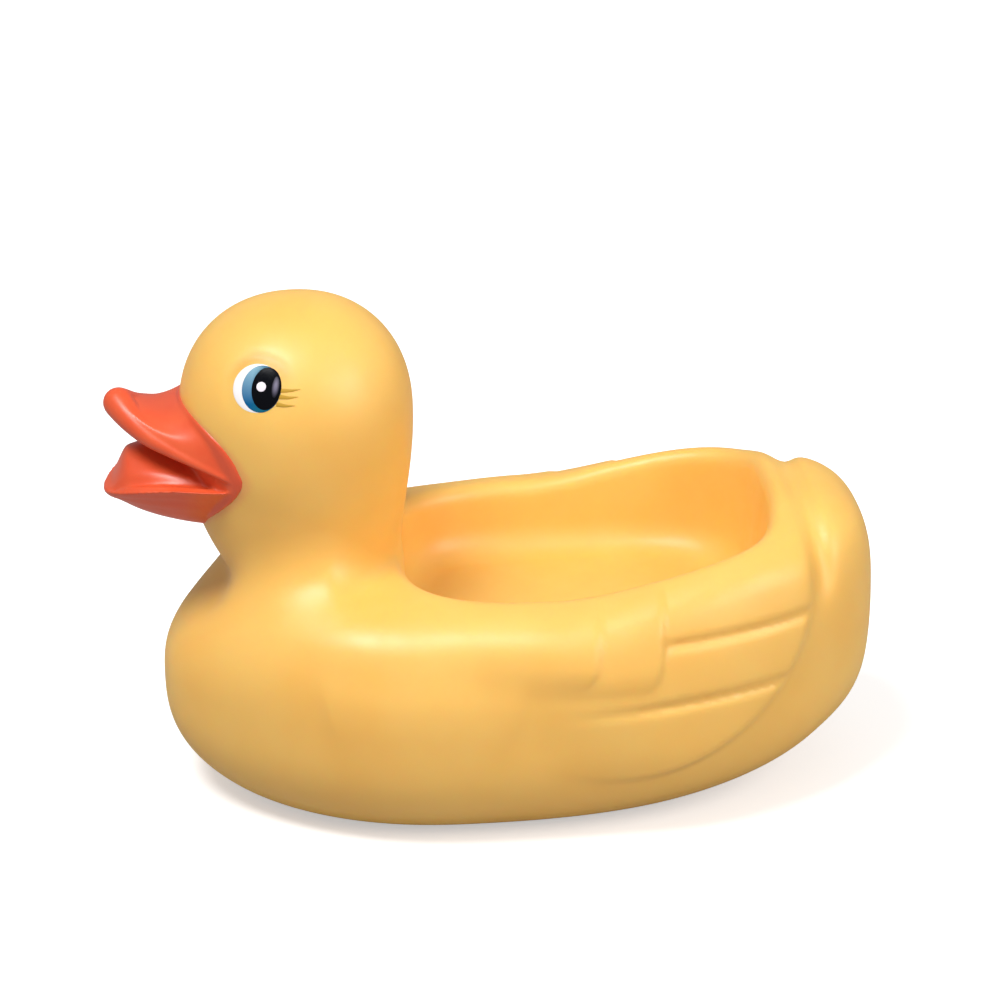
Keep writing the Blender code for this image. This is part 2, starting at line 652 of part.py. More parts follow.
def bill_base(paint):
    """The root of the bill: a low plate on the face, which gives the paint its outline."""
    rings = []
    for scale, depth in ((1.0, -2.0 * WALL), (1.0, 0.5 * BILL_BASE_PROUD), (0.95, BILL_BASE_PROUD),
                         (0.7, BILL_BASE_PROUD), (0.35, BILL_BASE_PROUD), (0.05, BILL_BASE_PROUD)):
        ring = []
        for step in range(BILL_RING):
            y = math.cos(math.tau * step / BILL_RING)
            z = math.sin(math.tau * step / BILL_RING)
            power, reach = (BILL_BASE_TOP_POWER, BILL_BASE_RISE) if z > 0.0 else (BILL_BASE_LOW_POWER, BILL_BASE_FALL)
            size = (abs(y) ** power + abs(z) ** power) ** (1.0 / power) / scale
            y = y / size * BILL_BASE_HALF_WIDTH
            z = z / size * reach - BILL_BASE_DROP
            height = HEAD_RISE if z > 0.0 else HEAD_DROP
            share = 1.0 - (abs(y) / HEAD_HALF_WIDTH) ** HEAD_POWER - (abs(z) / height) ** HEAD_POWER
            x = -HEAD_FRONT * max(share, 0.01) ** (1.0 / HEAD_POWER) - depth
            ring.append(Vector((HEAD_X + x, y, HEAD_Z + z)))
        rings.append(ring)
    return as_cutter(mesh_object("bill_base", lofted(rings), paint))


def eye_frame(side):
    """The directions to an eye, backwards across it, and up it, from the head's centre."""
    out = Vector((-math.sin(EYE_TURN) * math.cos(EYE_TILT),
                  side * math.cos(EYE_TURN) * math.cos(EYE_TILT), math.sin(EYE_TILT)))
    back = Vector((math.cos(EYE_TURN), side * math.sin(EYE_TURN), 0.0))
    up = Vector((math.sin(EYE_TURN) * math.sin(EYE_TILT),
                 -side * math.cos(EYE_TURN) * math.sin(EYE_TILT), math.cos(EYE_TILT)))
    return out, back, up


def paint_plate(name, side, shift, half_sizes, layer, paint, turn=0.0, count=24):
    """An oval of paint on the head, given by its shift backwards and up from the eye's centre."""
    out, back, up = eye_frame(side)
    radius = (HEAD.surface_along(out) - Vector(HEAD.centre)).length
    rings = []
    for scale, proud in ((1.0, -PLATE_ROOT), (1.0, layer * PAINT_STEP), (0.5, layer * PAINT_STEP)):
        ring = []
        for u, v in oval(half_sizes, 2.0, count):
            across = shift[0] + scale * (u * math.cos(turn) - v * math.sin(turn))
            along = shift[1] + scale * (u * math.sin(turn) + v * math.cos(turn))
            direction = (out * radius + back * across + up * along).normalized()
            ring.append(HEAD.surface_along(direction) + direction * proud)
        rings.append(ring)
    return as_cutter(mesh_object(name, lofted(rings), paint))


def eye(side, paints):
    """The painted eye of one side, and its three lashes."""
    white, blue, black, lash = paints
    plates = [paint_plate("eye_white", side, (0.0, 0.0), EYE_HALF_SIZES, 1, white),
              paint_plate("iris", side, IRIS_SHIFT, IRIS_HALF_SIZES, 2, blue),
              paint_plate("pupil", side, PUPIL_SHIFT, PUPIL_HALF_SIZES, 3, black),
              paint_plate("glint", side, GLINT_SHIFT, GLINT_HALF_SIZES, 4, white, count=12)]
    for step in range(LASH_COUNT):
        back = EYE_HALF_SIZES[0] + LASH_LENGTH / 2.0 - LASH_STEP_IN * step
        plates.append(paint_plate("lash", side, (back, -LASH_SPACING * step),
                                  (LASH_LENGTH / 2.0, LASH_HALF_HEIGHT), 1, lash,
                                  turn=LASH_TURN - LASH_FAN * step, count=10))
    return plates


def turned(name, profile, centre_x, paint, count=48):
    """A closed solid turned about an upright axis, from its outline of radius and height."""
    mesh = bmesh.new()
    verts = [mesh.verts.new((radius, 0.0, z)) for radius, z in profile]
    edges = [mesh.edges.new((a, b)) for a, b in zip(verts, verts[1:] + verts[:1])]
    bmesh.ops.spin(mesh, geom=verts + edges, axis=(0.0, 0.0, 1.0), cent=(0.0, 0.0, 0.0),
                   steps=count, angle=math.tau, use_merge=True)
    bmesh.ops.remove_doubles(mesh, verts=mesh.verts, dist=0.001 * MM)
    obj = mesh_object(name, mesh, paint)
    obj.location.x = centre_x
    return obj


def rod(name, radius, low, high, centre_x, count=32):
    """An upright cutter of one radius."""
    rings = [[(x, y, z) for x, y in oval((radius, radius), 2.0, count)] for z in (low, high)]
    obj = mesh_object(name, lofted(rings))
    obj.location.x = centre_x
    return as_cutter(obj)


def box(name, low, high, paint=None):
    """A block between two corners."""
    rings = [[(low[0], low[1], z), (high[0], low[1], z), (high[0], high[1], z), (low[0], high[1], z)]
             for z in (low[2], high[2])]
    return mesh_object(name, lofted(rings), paint)


def duck_body():
    """The vinyl moulding, with its bill, eyes, hollow and squeaker well."""
    vinyl = material("soft_vinyl", (0.96, 0.58, 0.12), 0.42)
    bill_paint = material("bill_paint", (0.84, 0.13, 0.045), 0.38)
    white = material("eye_white_paint", (0.93, 0.93, 0.90), 0.25)
    blue = material("iris_paint", (0.02, 0.13, 0.28), 0.25)
    black = material("pupil_paint", (0.008, 0.008, 0.010), 0.2)
    lash = material("lash_paint", (0.42, 0.20, 0.02), 0.45)
    body = blended_form("duck_body", 0.0, SKIN_VOXEL, SKIN_TRIANGLES)
    for paint in (vinyl, bill_paint, white, blue, black, lash):
        body.data.materials.append(paint)
    boolean(body, as_cutter(floor_cutter(BASE_TRIM)), "DIFFERENCE")
    lower_tip = BILL_TIP_X - LOWER_LONGER
    upper_tip = BILL_TIP_X + KNOB_OVERLAP
    forms = [bill_base(bill_paint), knob(bill_paint),
             blade("upper_bill", upper_tip, BILL_HALF_WIDTH, BILL_POWER, upper_surfaces, bill_paint),
             blade("lower_bill", lower_tip, LOWER_HALF_WIDTH, LOWER_POWER, lower_surfaces, bill_paint)]
    for side in (-1.0, 1.0):
        forms += eye(side, (white, blue, black, lash))
    for form in forms:
        boolean(body, form, "UNION")
    hollow = as_cutter(blended_form("hollow", WALL, CAVITY_VOXEL, CAVITY_TRIANGLES))
    boss = rod("well_boss", WELL_RADIUS + WALL, -WALL, WELL_TOP_Z + WALL, SQUEAKER_X)
    boolean(hollow, boss, "DIFFERENCE")
    boolean(body, hollow, "DIFFERENCE")
    boolean(body, rod("well", WELL_RADIUS, -WALL, WELL_TOP_Z, SQUEAKER_X), "DIFFERENCE")
    boolean(body, rod("air_hole", AIR_HOLE_RADIUS, 0.0, WELL_TOP_Z + 2.0 * WALL, SQUEAKER_X),
            "DIFFERENCE")
    return body


def squeaker():
    """The squeaker: a cup, a cover with sound holes, and a reed clamped on a block between them."""
    plastic = material("white_polypropylene", (0.86, 0.86, 0.82), 0.4)
    film = material("reed_film", (0.75, 0.78, 0.75), 0.15)
    low = SQUEAKER_LOW_Z
    high = low + SQUEAKER_HEIGHT
    inner = SQUEAKER_RADIUS - SQUEAKER_SHELL
    ceiling = high - SQUEAKER_SHELL
    seat = low + COVER_THICKNESS + CLEARANCE
    land = inner - COVER_RIM_LAND
    cup = turned("squeaker_cup", [(SQUEAKER_RADIUS, low), (SQUEAKER_RADIUS, high), (INLET_RADIUS, high),
                                  (INLET_RADIUS, ceiling), (land, ceiling), (land, seat),
                                  (inner, seat), (inner, low)], SQUEAKER_X, plastic)
    cover_rim = inner - CLEARANCE
    cover_top = low + COVER_THICKNESS
    rings = [[(x, y, z) for x, y in oval((cover_rim, cover_rim), 2.0, 48)] for z in (low, cover_top)]
    cover = mesh_object("squeaker_cover", lofted(rings), plastic)
    cover.location.x = SQUEAKER_X
    for step in range(SOUND_HOLE_COUNT):
        angle = math.tau * step / SOUND_HOLE_COUNT
        radius = land * SOUND_HOLE_CIRCLE
        hole = rod("sound_hole", SOUND_HOLE_RADIUS, low - WALL, low + WALL,
                   SQUEAKER_X + radius * math.cos(angle), 12)
        hole.location.y = radius * math.sin(angle)
        boolean(cover, hole, "DIFFERENCE")
    reach = land * REED_REACH
    block_low = cover_top + CLEARANCE
    block_top = block_low + REED_BLOCK_HEIGHT
    block = box("reed_block", (-reach, -REED_BLOCK_HALF_WIDTH, block_low),
                (reach, REED_BLOCK_HALF_WIDTH, block_top), plastic)
    channel = as_cutter(box("channel", (-2.0 * reach, -REED_CHANNEL_HALF_WIDTH,
                                        block_top - REED_CHANNEL_DEPTH),
                            (reach / 2.0, REED_CHANNEL_HALF_WIDTH, block_top + WALL)))
    boolean(block, channel, "DIFFERENCE")
    reed_low = block_top + CLEARANCE
    reed = box("reed", (-reach, -REED_HALF_WIDTH, reed_low),
               (reach, REED_HALF_WIDTH, reed_low + REED_THICKNESS), film)
    for obj in (block, channel, reed):
        obj.location.x = SQUEAKER_X
    return [cup, cover, block, reed]


def stand_on_origin(objects):
    """Moves the whole duck so that the origin lies under the middle of its length."""
    graph = bpy.context.evaluated_depsgraph_get()
    body = objects[0].evaluated_get(graph).to_mesh()
    xs = [vert.co.x for vert in body.vertices]
    low = min(vert.co.z for vert in body.vertices)
    shift = Vector((-(min(xs) + max(xs)) / 2.0, 0.0, -low))
    for obj in bpy.data.objects:
        obj.location += shift


def main():
    for obj in list(bpy.data.objects):
        bpy.data.objects.remove(obj)
    pieces = [duck_body()] + squeaker()
    stand_on_origin(pieces)


main()
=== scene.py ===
"""The finish of a rubber bath duck: a soft vinyl moulding, its painted bill and eyes, and its squeaker.

All sizes of the duck are in millimetres, in the frame in which its forms are drawn. A piece is moved
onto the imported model, and scaled to metres, when its mesh is made.
"""

import logging
import math
from collections.abc import Callable, Sequence
from dataclasses import dataclass, field
from enum import Enum
from itertools import product

import bmesh
import bpy
import numpy as np
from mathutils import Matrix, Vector


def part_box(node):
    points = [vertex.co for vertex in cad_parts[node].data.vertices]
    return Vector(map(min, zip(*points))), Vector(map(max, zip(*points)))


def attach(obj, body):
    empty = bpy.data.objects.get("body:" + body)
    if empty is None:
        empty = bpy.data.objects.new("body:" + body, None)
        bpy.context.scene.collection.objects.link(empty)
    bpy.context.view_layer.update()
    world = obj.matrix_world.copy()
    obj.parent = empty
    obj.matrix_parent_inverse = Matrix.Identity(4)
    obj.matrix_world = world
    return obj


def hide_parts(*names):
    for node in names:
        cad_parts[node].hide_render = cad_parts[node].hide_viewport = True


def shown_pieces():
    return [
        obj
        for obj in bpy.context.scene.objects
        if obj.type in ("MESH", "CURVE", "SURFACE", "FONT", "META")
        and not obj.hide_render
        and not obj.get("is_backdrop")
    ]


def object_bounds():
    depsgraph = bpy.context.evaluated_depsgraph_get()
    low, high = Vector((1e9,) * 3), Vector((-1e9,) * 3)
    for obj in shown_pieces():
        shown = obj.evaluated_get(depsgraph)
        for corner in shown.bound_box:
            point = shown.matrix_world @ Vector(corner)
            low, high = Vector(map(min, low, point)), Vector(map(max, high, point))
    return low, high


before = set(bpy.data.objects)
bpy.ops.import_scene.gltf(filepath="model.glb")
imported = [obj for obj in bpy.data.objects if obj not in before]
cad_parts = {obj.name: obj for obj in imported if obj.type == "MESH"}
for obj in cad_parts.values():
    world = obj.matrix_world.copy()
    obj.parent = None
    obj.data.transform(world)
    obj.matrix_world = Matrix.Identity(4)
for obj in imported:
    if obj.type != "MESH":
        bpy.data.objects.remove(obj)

LOG = logging.getLogger("duck")
MM = 0.001
# How far past its end a form still lifts and narrows, as a share of its length.
PAST_END = 1.2
# The least squared slope that a point is moved along.
FLATTEST = 0.05
# The noise between whose values a gloss drifts.
GLOSS_SPAN = (0.3, 0.7)
Pair = tuple[float, float]
Triple = tuple[float, float, float]
Distance = Callable[[np.ndarray], np.ndarray]


class Side(Enum):
    """The sides of the duck, as the sign of Y."""

    LEFT = -1
    RIGHT = 1


# Shapes as distances


def smooth_min(a: np.ndarray, b: np.ndarray, blend: float | np.ndarray) -> np.ndarray:
    """The lower of two distances, with a fillet where they meet.

    Args:
        a: One distance for each point.
        b: The other distance for each point.
        blend: About how large the fillet is, in mm.

    Returns:
        The blended distance for each point.
    """
    share = np.clip(0.5 + 0.5 * (b - a) / blend, 0.0, 1.0)
    return b + (a - b) * share - blend * share * (1.0 - share)


def smooth_max(a: np.ndarray, b: np.ndarray, blend: float | np.ndarray) -> np.ndarray:
    """The higher of two distances, rounded where they meet."""
    return -smooth_min(-a, -b, blend)


def ease(value: np.ndarray, start: float, end: float) -> np.ndarray:
    """0 before start, 1 after end, and a smooth climb between them."""
    share = np.clip((value - start) / (end - start), 0.0, 1.0)
    return share * share * (3.0 - 2.0 * share)


def bell(value: np.ndarray, centre: float, half_width: float) -> np.ndarray:
    """1 at centre, fading to nothing about two half widths away."""
    return np.exp(-(((value - centre) / half_width) ** 2))


def turns(count: int) -> np.ndarray:
    """Evenly spaced angles round a circle."""
    return np.arange(count) * math.tau / count


def unit(vectors: np.ndarray) -> np.ndarray:
    """The vectors at a length of 1."""
    return vectors / np.linalg.norm(vectors, axis=1, keepdims=True)


def rounded_distance(offsets: np.ndarray, axes: np.ndarray, power: float) -> np.ndarray:
    """The distance to a superellipsoid.

    Args:
        offsets: Points measured from its centre.
        axes: Its half axes, for all points or for each.
        power: 2 for an ellipsoid, and higher for a squarer form.

    Returns:
        The distance for each point, below 0 inside.
    """
    share = np.maximum(np.abs(offsets) / axes, 1e-9)
    size = (share**power).sum(axis=1) ** (1.0 / power)
    slope = size ** (1.0 - power) * np.linalg.norm(share ** (power - 1.0) / axes, axis=1)
    return (size - 1.0) / slope


@dataclass(frozen=True)
class Egg:
    """A rounded solid with its own reach forwards, backwards, up and down."""

    centre: Triple
    front: float
    rear: float
    half_width: float
    rise: float
    drop: float
    power: float = 2.0
    lift: float = 0.0
    rear_rise: float = 0.0
    front_taper: float = 0.0

    def distance(self, points: np.ndarray) -> np.ndarray:
        """The distance from each point to the form.

        Args:
            points: The points.

        Returns:
            The distance for each, below 0 inside.
        """
        offsets = points - np.array(self.centre)
        rearward = np.clip(offsets[:, 0] / self.rear, 0.0, PAST_END) ** 2
        taper = 1.0 - self.front_taper * np.clip(-offsets[:, 0] / self.front, 0.0, PAST_END) ** 2
        offsets[:, 2] -= self.lift * rearward
        axes = np.empty_like(offsets)
        axes[:, 0] = np.where(offsets[:, 0] < 0.0, self.front, self.rear)
        axes[:, 1] = self.half_width * taper
        rise = (self.rise + self.rear_rise * rearward) * taper
        axes[:, 2] = np.where(offsets[:, 2] > 0.0, rise, self.drop)
        return rounded_distance(offsets, axes, self.power)


@dataclass(frozen=True)
class Neck:
    """An upright oval column, narrower towards its top, which is buried in the head."""

    x: float
    foot_z: float
    top_z: float
    taper_from_z: float
    half_length: float = 17.7
    half_width: float = 18.0
    taper: float = 0.30
    top_round: float = 22.0

    def distance(self, points: np.ndarray) -> np.ndarray:
        """The distance from each point to the column.

        Args:
            points: The points.

        Returns:
            The distance for each, below 0 inside.
        """
        width = 1.0 - self.taper * ease(points[:, 2], self.taper_from_z, self.top_z)
        axes = np.stack((self.half_length * width, self.half_width * width), axis=1)
        offsets = points[:, :2] - np.array((self.x, 0.0))
        column = np.maximum(rounded_distance(offsets, axes, 2.0), self.foot_z - points[:, 2])
        return smooth_max(column, points[:, 2] - self.top_z, self.top_round)


@dataclass(frozen=True)
class Tray:
    """The hollow in the back: a tub with sloping walls, open above."""

    front_x: float
    rim_z: float
    length: float = 79.0
    half_width: float = 31.5
    depth: float = 15.5
    power: float = 3.5
    draft: float = 0.10
    floor_round: float = 7.0

    def distance(self, points: np.ndarray) -> np.ndarray:
        """The distance from each point to the space in the tub.

        Args:
            points: The points.

        Returns:
            The distance for each, below 0 inside.
        """
        slope = self.draft * (points[:, 2] - self.rim_z)
        axes = np.stack((self.length / 2.0 + slope, self.half_width + slope), axis=1)
        offsets = points[:, :2] - np.array((self.front_x + self.length / 2.0, 0.0))
        walls = rounded_distance(offsets, axes, self.power)
        return smooth_max(walls, self.rim_z - self.depth - points[:, 2], self.floor_round)


@dataclass(frozen=True)
class FeatherTier:
    """One tier of the wing: an oval seen from the side, which stands out from the body."""

    offset: float
    half_length: float
    drop: float
    relief: float
    power: float = 2.0
    crisp_drop: float = 60.0
    fade_drop: float = 14.0
    fade_softness: float = 4.0

    def outside(self, points: np.ndarray, centre: Pair) -> np.ndarray:
        """How far outside the tier each point is, seen from the side."""
        offsets = points[:, (0, 2)] - np.array((centre[0] + self.offset, centre[1]))
        return rounded_distance(offsets, np.array((self.half_length, self.drop)), self.power)

    def within(self, points: np.ndarray, centre: Pair, edge: float) -> np.ndarray:
        """1 within the tier and 0 outside it, with an edge that fades below the crisp drop.

        Args:
            points: The points.
            centre: The torso's middle and the wing's top, seen from the side.
            edge: How soft the edge is, in mm.

        Returns:
            The share for each point.
        """
        low = ease(centre[1] - points[:, 2], self.crisp_drop, self.crisp_drop + self.fade_drop)
        soft = edge * (1.0 + self.fade_softness * low)
        return ease(-self.outside(points, centre), -soft, soft) * (1.0 - low)


@dataclass(frozen=True)
class Wing:
    """The folded wing in low relief: three tiers, and grooves between the flight feathers."""

    torso_x: float
    top_z: float = 54.0
    edge: float = 1.5
    fade_length: float = 34.0
    fade_rake: float = 0.9
    flight: FeatherTier = FeatherTier(32.0, 42.5, 38.0, 1.7, 1.9)
    covert: FeatherTier = FeatherTier(16.0, 25.0, 32.0, 0.8, 2.6, 12.0)
    shoulder: FeatherTier = FeatherTier(5.0, 22.5, 28.0, 0.7, 2.6, 10.0)
    scapular: FeatherTier = FeatherTier(-11.0, 22.0, 44.0, 0.45, 2.6, 22.0)
    scapular_from: Pair = (12.0, 20.0)
    notch_depth: float = 1.6
    notch_out: float = 2.4
    notch_spread: float = 2.6
    notch_heights: Pair = (44.0, 56.0)
    groove_drops: Pair = (7.6, 20.6)
    groove_rise: float = 0.06
    groove_depth: float = 0.85
    groove_half_width: float = 1.1

    def relief(self, points: np.ndarray) -> np.ndarray:
        """How far the wing stands out from the body's side at each point.

        Args:
            points: The points.

        Returns:
            The relief at each, in mm.
        """
        centre = (self.torso_x, self.top_z)
        flight, covert, shoulder = (
            tier.within(points, centre, self.edge) for tier in (self.flight, self.covert, self.shoulder)
        )
        start_x = self.torso_x + self.covert.offset + self.covert.half_length
        grooves = np.zeros(len(points))
        for drop in self.groove_drops:
            line = self.top_z - drop + self.groove_rise * (points[:, 0] - start_x)
            grooves += bell(points[:, 2] - line, 0.0, self.groove_half_width)
        grooves *= self.groove_depth * flight * (1.0 - covert)
        grooves *= ease(points[:, 0], start_x - self.covert.half_length, start_x)
        height = self.flight.relief * flight
        height = np.maximum(height, (self.flight.relief + self.covert.relief) * covert)
        full = self.flight.relief + self.covert.relief + self.shoulder.relief
        height = np.maximum(height, full * shoulder)
        front_x = self.torso_x + self.shoulder.offset - self.shoulder.half_length
        drop = self.top_z - points[:, 2]
        raked = points[:, 0] - self.fade_rake * np.maximum(drop, 0.0)
        height = height * ease(raked, front_x, front_x + self.fade_length) - grooves
        below = ease(drop, *self.scapular_from)
        height += self.scapular.relief * self.scapular.within(points, centre, self.edge) * below
        return height

    def notch(self, points: np.ndarray) -> np.ndarray:
        """How deep the dip between the wing's tip and the tail is at each point.

        Args:
            points: The points.

        Returns:
            The depth at each, in mm.
        """
        outside = self.flight.outside(points, (self.torso_x, self.top_z))
        depth = self.notch_depth * bell(outside, self.notch_out, self.notch_spread)
        behind = points[:, 0] > self.torso_x + self.flight.offset
        return depth * ease(points[:, 2], *self.notch_heights) * behind


@dataclass(frozen=True)
class EyePlace:
    """Where the eyes lie on the head, and the shallow socket that each is moulded in."""

    head_centre: Triple
    turn: float = math.radians(25.6)
    tilt: float = math.radians(28.8)
    half_length: float = 5.5
    half_height: float = 5.4
    socket_depth: float = 0.35
    socket_reach: float = 1.22
    socket_spread: float = 0.24
    far: float = 9.0

    def axes(self, side: Side) -> tuple[np.ndarray, np.ndarray, np.ndarray]:
        """The directions out of an eye, backwards across it, and up it.

        Args:
            side: The eye's side.

        Returns:
            The three directions.
        """
        sign = side.value
        turn, tilt = self.turn, self.tilt
        out = (-math.sin(turn) * math.cos(tilt), sign * math.cos(turn) * math.cos(tilt), math.sin(tilt))
        back = (math.cos(turn), sign * math.sin(turn), 0.0)
        up = (math.sin(turn) * math.sin(tilt), -sign * math.cos(turn) * math.sin(tilt), math.cos(tilt))
        return np.array(out), np.array(back), np.array(up)

    def around(self, points: np.ndarray) -> tuple[np.ndarray, np.ndarray]:
        """How far out from an eye each point lies, where 1 is its edge, and how far above its middle.

        Args:
            points: The points.

        Returns:
            The reach and the height for each.
        """
        offsets = points - np.array(self.head_centre)
        offsets[:, 1] = -np.abs(offsets[:, 1])
        out, back, up = self.axes(Side.LEFT)
        across, above = offsets @ back / self.half_length, offsets @ up / self.half_height
        reach = np.hypot(across, above)
        return np.where(offsets @ out > 0.0, reach, self.far), above / np.maximum(reach, 1e-6)

    def socket(self, points: np.ndarray) -> np.ndarray:
        """The depth of the sockets at each point, deepest above the eye."""
        reach, above = self.around(points)
        return self.socket_depth * bell(reach, self.socket_reach, self.socket_spread) * (0.5 + 0.5 * above)


@dataclass
class Skin:
    """The duck's moulding without its bill: breast, neck, head, tail, wings and tray."""

    torso: Egg = Egg((-8.0, 0.0, 25.6), 64.0, 88.5, 48.0, 37.5, 30.0, 2.6, 5.0, 38.0, 0.36)
    tail: Egg = Egg((62.5, 0.0, 45.0), 14.0, 20.0, 23.0, 20.5, 31.0, 2.8)
    head: Egg = Egg((-41.5, 0.0, 86.7), 25.6, 24.6, 25.0, 24.8, 33.0, 2.15)
    jaw: Egg = Egg((-47.5, 0.0, 66.5), 15.0, 17.0, 16.0, 14.0, 14.0)
    neck_x: float = -37.8
    neck_foot_rise: float = 6.0
    rim_front_z: float = 53.3
    rim_rear_z: float = 62.5
    rim_level_length: float = 30.0
    rim_climb_length: float = 48.0
    breast_fall: float = 8.0
    breast_fall_length: float = 24.0
    rim_round: float = 8.0
    tray_lip_round: float = 3.5
    tail_blend: float = 9.0
    head_blend: float = 12.0
    jaw_blend: float = 7.0
    throat_blend: float = 3.5
    shoulder_blend: float = 15.0
    shoulder_from: float = 2.6
    base_round: float = 5.0
    base_trim: float = 0.3
    well_clearance: float = 0.3
    net_step: float = 0.95
    net_margin: float = 3.0
    neck: Neck = field(init=False)
    tray: Tray = field(init=False)
    wing: Wing = field(init=False)
    eyes: EyePlace = field(init=False)

    def __post_init__(self) -> None:
        """Places the forms that depend on others."""
        foot = self.torso.centre[2] + self.neck_foot_rise
        self.neck = Neck(self.neck_x, foot, self.head.centre[2], self.rim_front_z)
        self.tray = Tray(self.neck_x + self.neck.half_length, self.rim_front_z)
        self.wing = Wing(self.torso.centre[0])
        self.eyes = EyePlace(self.head.centre)

    def rim_height(self, x: np.ndarray) -> np.ndarray:
        """The rim's line along the duck: it climbs to the tail, and falls over the breast.

        Args:
            x: Places along the duck.

        Returns:
            The rim's height at each.
        """
        level_x = self.tray.front_x + self.rim_level_length
        climb = ease(x, level_x, level_x + self.rim_climb_length)
        fall = ease(self.neck.x - self.neck.half_length / 2.0 - x, 0.0, self.breast_fall_length)
        return self.rim_front_z + (self.rim_rear_z - self.rim_front_z) * climb - self.breast_fall * fall

    def distance(self, points: np.ndarray) -> np.ndarray:
        """The distance from each point to the surface of the moulding.

        Args:
            points: The points.

        Returns:
            The distance for each, below 0 inside.
        """
        torso = self.torso.distance(points) - self.wing.relief(points)
        shape = smooth_max(torso, points[:, 2] - self.rim_height(points[:, 0]), self.rim_round)
        shape = smooth_min(shape, self.tail.distance(points), self.tail_blend) + self.wing.notch(points)
        shape = smooth_max(shape, -self.tray.distance(points), self.tray_lip_round)
        head = self.head.distance(points) + self.eyes.socket(points)
        head = smooth_min(head, self.jaw.distance(points), self.jaw_blend)
        upper = smooth_min(self.neck.distance(points), head, self.head_blend)
        side = ease(np.abs(points[:, 1]), 0.0, self.neck.half_width)
        side = side * ease(self.tray.front_x - points[:, 0], self.shoulder_from, self.neck.half_length)
        blend = self.throat_blend + (self.shoulder_blend - self.throat_blend) * side
        shape = smooth_min(shape, upper, blend)
        shape = smooth_max(shape, -points[:, 2], self.base_round)
        return np.maximum(shape, self.base_trim - points[:, 2])

    def raised(self, points: np.ndarray, proud: float) -> np.ndarray:
        """Points moved out from the skin, or into it where proud is below 0."""
        return points + proud * unit(gradient(self.distance, points))


# Meshes


def gradient(distance: Distance, points: np.ndarray, step: float = 0.05) -> np.ndarray:
    """The slope of a distance at each point, by central differences.

    Args:
        distance: The surface, as a distance.
        points: The points.
        step: How far apart the samples lie, in mm.

    Returns:
        The slope at each.
    """
    slopes = np.empty_like(points)
    for axis in range(3):
        shift = np.zeros(3)
        shift[axis] = step
        slopes[:, axis] = (distance(points + shift) - distance(points - shift)) / (2.0 * step)
    return slopes


def settle(distance: Distance, points: np.ndarray, passes: int = 3, longest: float = 1.0) -> np.ndarray:
    """Moves points onto a surface, along its slope.

    Args:
        distance: The surface, as a distance.
        points: The points to move.
        passes: How often each point is corrected.
        longest: The longest move in one pass, in mm.

    Returns:
        The points on the surface.
    """
    for _ in range(passes):
        slopes = gradient(distance, points)
        steepness = np.maximum((slopes**2).sum(axis=1), FLATTEST)
        moves = -(distance(points) / steepness)[:, None] * slopes
        lengths = np.maximum(np.linalg.norm(moves, axis=1), 1e-9)
        points = points + moves * np.minimum(1.0, longest / lengths)[:, None]
    return points


def surface_net(distance: Distance, low: Triple, high: Triple, step: float) -> tuple[np.ndarray, np.ndarray]:
    """Quads round the zero of a distance, one point for each grid cell that the surface crosses.

    Args:
        distance: The surface, as a distance.
        low: The lowest corner of the grid.
        high: The highest corner of the grid.
        step: The size of a cell.

    Returns:
        The points at the cells' centres, and the quads as rows of four indices.
    """
    lines = [np.arange(start, end + step, step) for start, end in zip(low, high)]
    grid = np.stack(np.meshgrid(*lines, indexing="ij"), axis=-1)
    slabs = [distance(slab.reshape(-1, 3)).reshape(slab.shape[:2]) for slab in grid]
    inside = np.stack(slabs) < 0.0
    cells = tuple(count - 1 for count in inside.shape)
    filled = np.zeros(cells, int)
    for corner in product((0, 1), repeat=3):
        filled += inside[tuple(slice(c, c + n) for c, n in zip(corner, cells))]
    crossed = (filled > 0) & (filled < 8)
    index = np.full(cells, -1)
    index[crossed] = np.arange(int(crossed.sum()))
    points = np.array([line[0] for line in lines]) + (np.argwhere(crossed) + 0.5) * step
    quads = []
    for axis in range(3):
        before = np.take(inside, range(cells[axis]), axis=axis)
        after = np.take(inside, range(1, cells[axis] + 1), axis=axis)
        for leaving, order in ((True, 1), (False, -1)):
            edges = np.argwhere((before != after) & (before == leaving))
            one, two = (axis + 1) % 3, (axis + 2) % 3
            ring = []
            for a, b in ((1, 1), (0, 1), (0, 0), (1, 0))[::order]:
                cell = edges.copy()
                cell[:, one] -= a
                cell[:, two] -= b
                ring.append(index[tuple(cell.T)])
            quads.append(np.stack(ring, axis=1))
    return points, np.concatenate(quads)


def relax(points: np.ndarray, quads: np.ndarray) -> np.ndarray:
    """Each point moved halfway to the middle of its neighbours.

    Args:
        points: The points of a net.
        quads: Its faces, as rows of four indices.

    Returns:
        The moved points.
    """
    starts = np.concatenate([quads[:, i] for i in range(4)] + [quads[:, i] for i in range(4)])
    ends = np.concatenate([quads[:, (i + 1) % 4] for i in range(4)] + [quads[:, i - 1] for i in range(4)])
    counts = np.bincount(starts, minlength=len(points))
    sums = [np.bincount(starts, points[ends, axis], len(points)) for axis in range(3)]
    return 0.5 * points + 0.5 * np.stack(sums, axis=1) / counts[:, None]


@dataclass
class Placement:
    """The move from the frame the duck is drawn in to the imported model, in mm."""

    shift: np.ndarray = field(default_factory=lambda: np.zeros(3))

    def placed(self, points: np.ndarray) -> np.ndarray:
        """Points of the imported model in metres, from drawn points in mm."""
        return (points + self.shift) * MM


